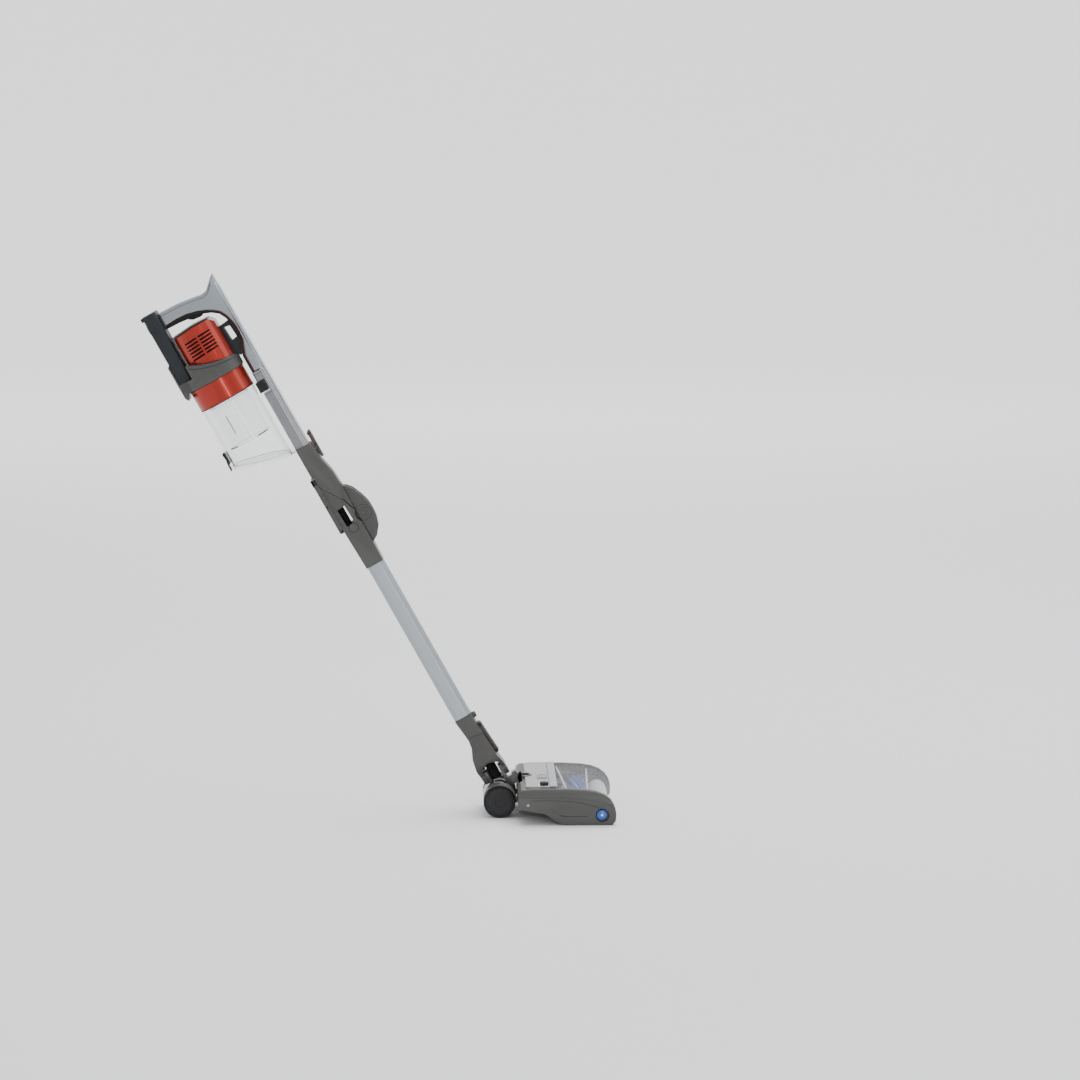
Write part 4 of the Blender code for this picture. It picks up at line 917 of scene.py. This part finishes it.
# ------------------------------------------------------------------ top plate and its controls
# A light grey plate with a satin lacquer covers the rear of the head. It carries a U-shaped roller button, a
# knurled black knob on a raised pad, and a boss with a dark oval socket for the yoke's nose.
plate_lacquer = silver_lacquer("plate_lacquer", "#8e8e8a", "#969692", "#c2c2be")
rounded_copy("head_plate", "top_plate", "head", plate_lacquer, 0.5, above(70.7), HEAD, 2)
rounded_copy("roller_button", "roller_latch", "head_catch", plate_lacquer, 0.8, None, HEAD, 2)
letter_u = [(88.6, -32.5), (77.0, -32.5), (75.4, -31.0), (75.4, -11.0), (77.0, -9.5), (88.6, -9.5)]
strand("button_u_line", [(x, y, 72.1) for x, y in letter_u], 0.5, "head_catch", gap_shadow, HEAD)
pad = [(72, -107), (92, -107), (92, -85), (72, -85)]
pushed("knob_pad", pad, 70.7, 71.1, "z", "head", bright_lacquer, "silver", HEAD, 0.2, 1)
KNOB_X, KNOB_Y, LOBES, LOBE_DEPTH = 83.0, -96.0, 6, 0.2
bm = bmesh.new()
tiers = []
for radius, height in ((8.6, 71.2), (9.0, 71.8), (9.0, 75.6), (8.0, 77.0), (5.0, 77.4), (4.4, 76.6)):
    tier = []
    for k in range(48):
        turn = 2 * math.pi * k / 48
        lobe = radius * (1.0 - LOBE_DEPTH * (0.5 + 0.5 * math.cos(LOBES * turn)))
        tier.append(bm.verts.new((KNOB_X + lobe * math.cos(turn), KNOB_Y + lobe * math.sin(turn), height)))
    tiers.append(tier)
skin(bm, tiers)
knob = fitted(bm, "side_brush_knob", "knob", black_abs, HEAD)
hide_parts("lock_knob")
socket = hoop(lambda a, b: (46.0 + a, b, 71.6), 14.2, 32, -80.0, 80.0)
strand("boss_lip", socket, 0.9, "head", plate_lacquer, HEAD, 12)

# ------------------------------------------------------------------ bright bar
# A grey lacquered bar closes the plate against the window, and carries four raised stripes of satin chrome.


def satin_chrome(name):
    """Satin chrome on ABS: bright and cool, dulled by a 0.3 mm blasted grain that is drawn at 0.8 mm."""
    return grained_skin(name, ("#b4b6ba", "#c4c6ca", "#e6e6e8"), 25.0, (0.8, 0.006), (0.18, 0.3), {
        "Metallic": 0.8})


chrome = satin_chrome("satin_chrome")
rounded_copy("stripe_bar", "trim_bar", "head", grey_lacquer, 0.4, None, HEAD, 2)
for k in range(4):
    x = 96.0 + 2.9 * k
    strand(f"bar_stripe_{k}", [(x, -110.0, 72.5), (x, 0.0, 72.5), (x, 110.0, 72.5)], 0.7, "head", chrome,
           HEAD)

# ------------------------------------------------------------------ window
# The window over the rollers is clear polycarbonate, 2.4 mm thick, curved down to the front, with two
# lacquered ribs inside. The lilac-grey hood round the rear roller is open above, so that the roller shows.
rounded_copy("roller_window", "head_window", "head", sheer, 0.3,
             beyond(111), HEAD, 1)
for number, (near, far, z, width) in enumerate(((125.5, 111.5, 64.6, 2.0), (163.0, 170.0, 60.2, 1.8))):
    bm = bmesh.new()
    ends = []
    for x, y in ((near, -111.0), (far, 111.0)):
        corner = [(x - width, z - 1.4), (x + width, z - 1.6), (x + width, z - 0.4), (x - width, z)]
        ends.append([bm.verts.new((a, y, b)) for a, b in corner])
    skin(bm, ends)
    fitted(bm, f"window_rib_{number}", "head", plate_lacquer, HEAD)
lilac_abs = moulded_abs("lilac_grey_abs", "#85868d", "#8f9097", "#aeafb5", (0.3, 0.44))
bm = bmesh.new()
bm.from_mesh(frame["nodes"]["roller_hood"].data)
bm.transform(HEAD.inverted())
bmesh.ops.remove_doubles(bm, verts=bm.verts, dist=0.002)
bmesh.ops.bisect_plane(
    bm, geom=[*bm.verts, *bm.edges, *bm.faces], plane_co=(0, 0, 36.0), plane_no=(0, 0, 1), clear_outer=True)
bmesh.ops.holes_fill(bm, edges=[e for e in bm.edges if e.is_boundary])
hood = fitted(bm, "brush_hood", "head", lilac_abs, HEAD)
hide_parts("roller_hood")

# ------------------------------------------------------------------ rear brush roller
# The rear roller is a blue ABS core with six helical rows of nylon bristles set in its fins.
BRUSH_X, BRUSH_Z, FOOT_R = 147.0, 28.0, 15.6
BRISTLE_ROWS, TUFTS = 6, 70


def dyed_abs(name):
    """Blue dyed ABS, moulded in a polished tool: saturated, with a broad soft gloss."""
    return grained_skin(name, ("#1c4796", "#2a5aae", "#7fa3da"), 18.0, (0.7, 0.01), (0.22, 0.36), {
        "Coat Weight": 0.3, "Coat Roughness": 0.15})


def nylon_bristle(name):
    """Nylon filament, dyed blue and softly shiny; 0.15 mm filaments are grouped into tufts 1.2 mm thick."""
    material, shader = new_material(name)
    tone = tone_with_edge_highlight(material, "#24509f", "#3b6cc0", "#7fa3da", 6.0)
    feed(material, shader, {
        "Base Color": tone.outputs[2], "Roughness": 0.5, "Sheen Weight": 0.3, "Sheen Roughness": 0.4})
    return material


blue_abs = dyed_abs("blue_dyed_abs")
rounded_copy("brush_core", "brush_roller", "brush", blue_abs, 0.3, lambda a, b: False, HEAD, 1)
bm = bmesh.new()
for row in range(BRISTLE_ROWS):
    for k in range(TUFTS):
        share = (k + 0.5) / TUFTS
        y = -100.0 + 200.0 * share
        twist = math.radians(60.0 * row + 30.0 + 70.0 * share)
        foot = Vector((BRUSH_X + FOOT_R * math.cos(twist), y, BRUSH_Z + FOOT_R * math.sin(twist)))
        out = Vector((math.cos(twist), 0.0, math.sin(twist)))
        across = Vector((-math.sin(twist), 0.0, math.cos(twist)))
        reach = 6.0 + 0.4 * math.sin(12.9 * k + row)
        base, ends = [], []
        for n in range(5):
            turn = 2 * math.pi * n / 5
            spread = across * math.cos(turn) + SIDE * math.sin(turn)
            base.append(bm.verts.new(foot + spread * 0.55))
            ends.append(bm.verts.new(foot + out * reach + spread * 0.85))
        skin(bm, [base, ends])
fitted(bm, "brush_bristles", "brush", nylon_bristle("nylon_bristle"), HEAD, 70.0)

# ------------------------------------------------------------------ front soft roller
# The front roller is a sleeve of short woven pile over a tube. Its blue end cap shows in the right cheek.
SOFT_X, SOFT_Z, SOFT_R = 189.5, 19.5, 18.5


def short_pile(name):
    """Polyamide pile, 3 mm deep: matt, in tufts 1.5 mm apart, with painted light on the tuft tips and painted
    shade between the tufts.
    """
    material, shader = new_material(name)
    place = add(material, "ShaderNodeTexCoord")
    tufts = add(material, "ShaderNodeTexVoronoi", {
        "Vector": place.outputs["Object"], "Scale": 1.0 / (1.5 * MM)})
    # Painted light and shade: pale at each tuft's centre, darker toward the hollows between tufts.
    tone = add(material, "ShaderNodeValToRGB", {"Fac": tufts.outputs["Distance"]})
    tone.color_ramp.elements[0].color = linear("#c9cbd0")
    tone.color_ramp.elements[1].color = linear("#8d9096")
    bump = add(material, "ShaderNodeBump", {
        "Height": tufts.outputs["Distance"], "Strength": 0.8, "Distance": -0.6 * MM})
    feed(material, shader, {
        "Base Color": tone.outputs["Color"], "Roughness": 0.9, "Normal": bump.outputs["Normal"],
        "Sheen Weight": 0.6, "Sheen Roughness": 0.35})
    return material


pile = short_pile("short_pile")
bm = bmesh.new()
rows, turns = 110, 72
grid = []
for row in range(rows + 1):
    y = -109.0 + 218.0 * row / rows
    grid.append([])
    for k in range(turns):
        turn = 2 * math.pi * k / turns
        fluff = 0.35 * math.sin(7.0 * turn + 0.9 * row) * math.sin(0.37 * row * row + k)
        radius = SOFT_R - 0.5 + fluff - (1.6 if row in (0, rows) else 0.0)
        grid[-1].append(bm.verts.new((SOFT_X + radius * math.cos(turn), y, SOFT_Z + radius * math.sin(turn))))
skin(bm, grid)
fleece = fitted(bm, "fleece_sleeve", "soft", pile, HEAD, 60.0)
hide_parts("soft_roller")
stub = [(0, -117.0), (5.0, -117.0), (5.0, -108.0), (0, -108.0)]
spun("fleece_stub", stub, (SOFT_X, 0.0, SOFT_Z), "y", "soft", zinc, HEAD, 32)
cap = [(0, -125.9), (5.2, -125.8), (8.4, -124.9), (9.8, -123.6), (10.4, -122.0), (10.4, -119.4), (0, -119.4)]
end_cap = spun("front_roller_cap", cap, (SOFT_X, 0.0, SOFT_Z), "y", "soft", blue_abs, HEAD, 48)
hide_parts("roller_cap")
dimple = [(0, -126.2), (2.0, -126.2), (2.6, -125.7), (0, -125.6)]
spun("cap_dimple", dimple, (SOFT_X + 0.6, 0.0, SOFT_Z + 0.2), "y", "soft", bright_lacquer, HEAD, 24)

# ------------------------------------------------------------------ inside parts
# The parts that the casings hide keep their solids: motors, filter, cells, fan, belt, pinion and duct.


def filter_foam(name):
    """Open-cell polyurethane foam, cells about 1 mm, with painted shade in the hollow of each cell."""
    material, shader = new_material(name)
    place = add(material, "ShaderNodeTexCoord")
    cells = add(material, "ShaderNodeTexVoronoi", {
        "Vector": place.outputs["Object"], "Scale": 1.0 / (1.0 * MM)})
    # Painted shade: dark at each cell's sunken centre, paler on the cell walls.
    tone = add(material, "ShaderNodeValToRGB", {"Fac": cells.outputs["Distance"]})
    tone.color_ramp.elements[0].color = linear("#2a2a30")
    tone.color_ramp.elements[1].color = linear("#53535c")
    bump = add(material, "ShaderNodeBump", {
        "Height": cells.outputs["Distance"], "Strength": 0.9, "Distance": 0.5 * MM})
    feed(material, shader, {
        "Base Color": tone.outputs["Color"], "Roughness": 0.95, "Normal": bump.outputs["Normal"]})
    return material


belt_rubber = soft_rubber("belt_rubber", "#141415", "#1c1c1d")
for node, material in (
    ("motor_can", zinc), ("brush_motor", zinc), ("premotor_filter", filter_foam("filter_foam")),
    ("cell_pack", blue_abs), ("fan_impeller", slate_abs), ("drive_belt", belt_rubber),
    ("motor_pinion", slate_abs), ("air_duct", slate_abs),
):
    for slot in frame["nodes"][node].material_slots:
        slot.material = material
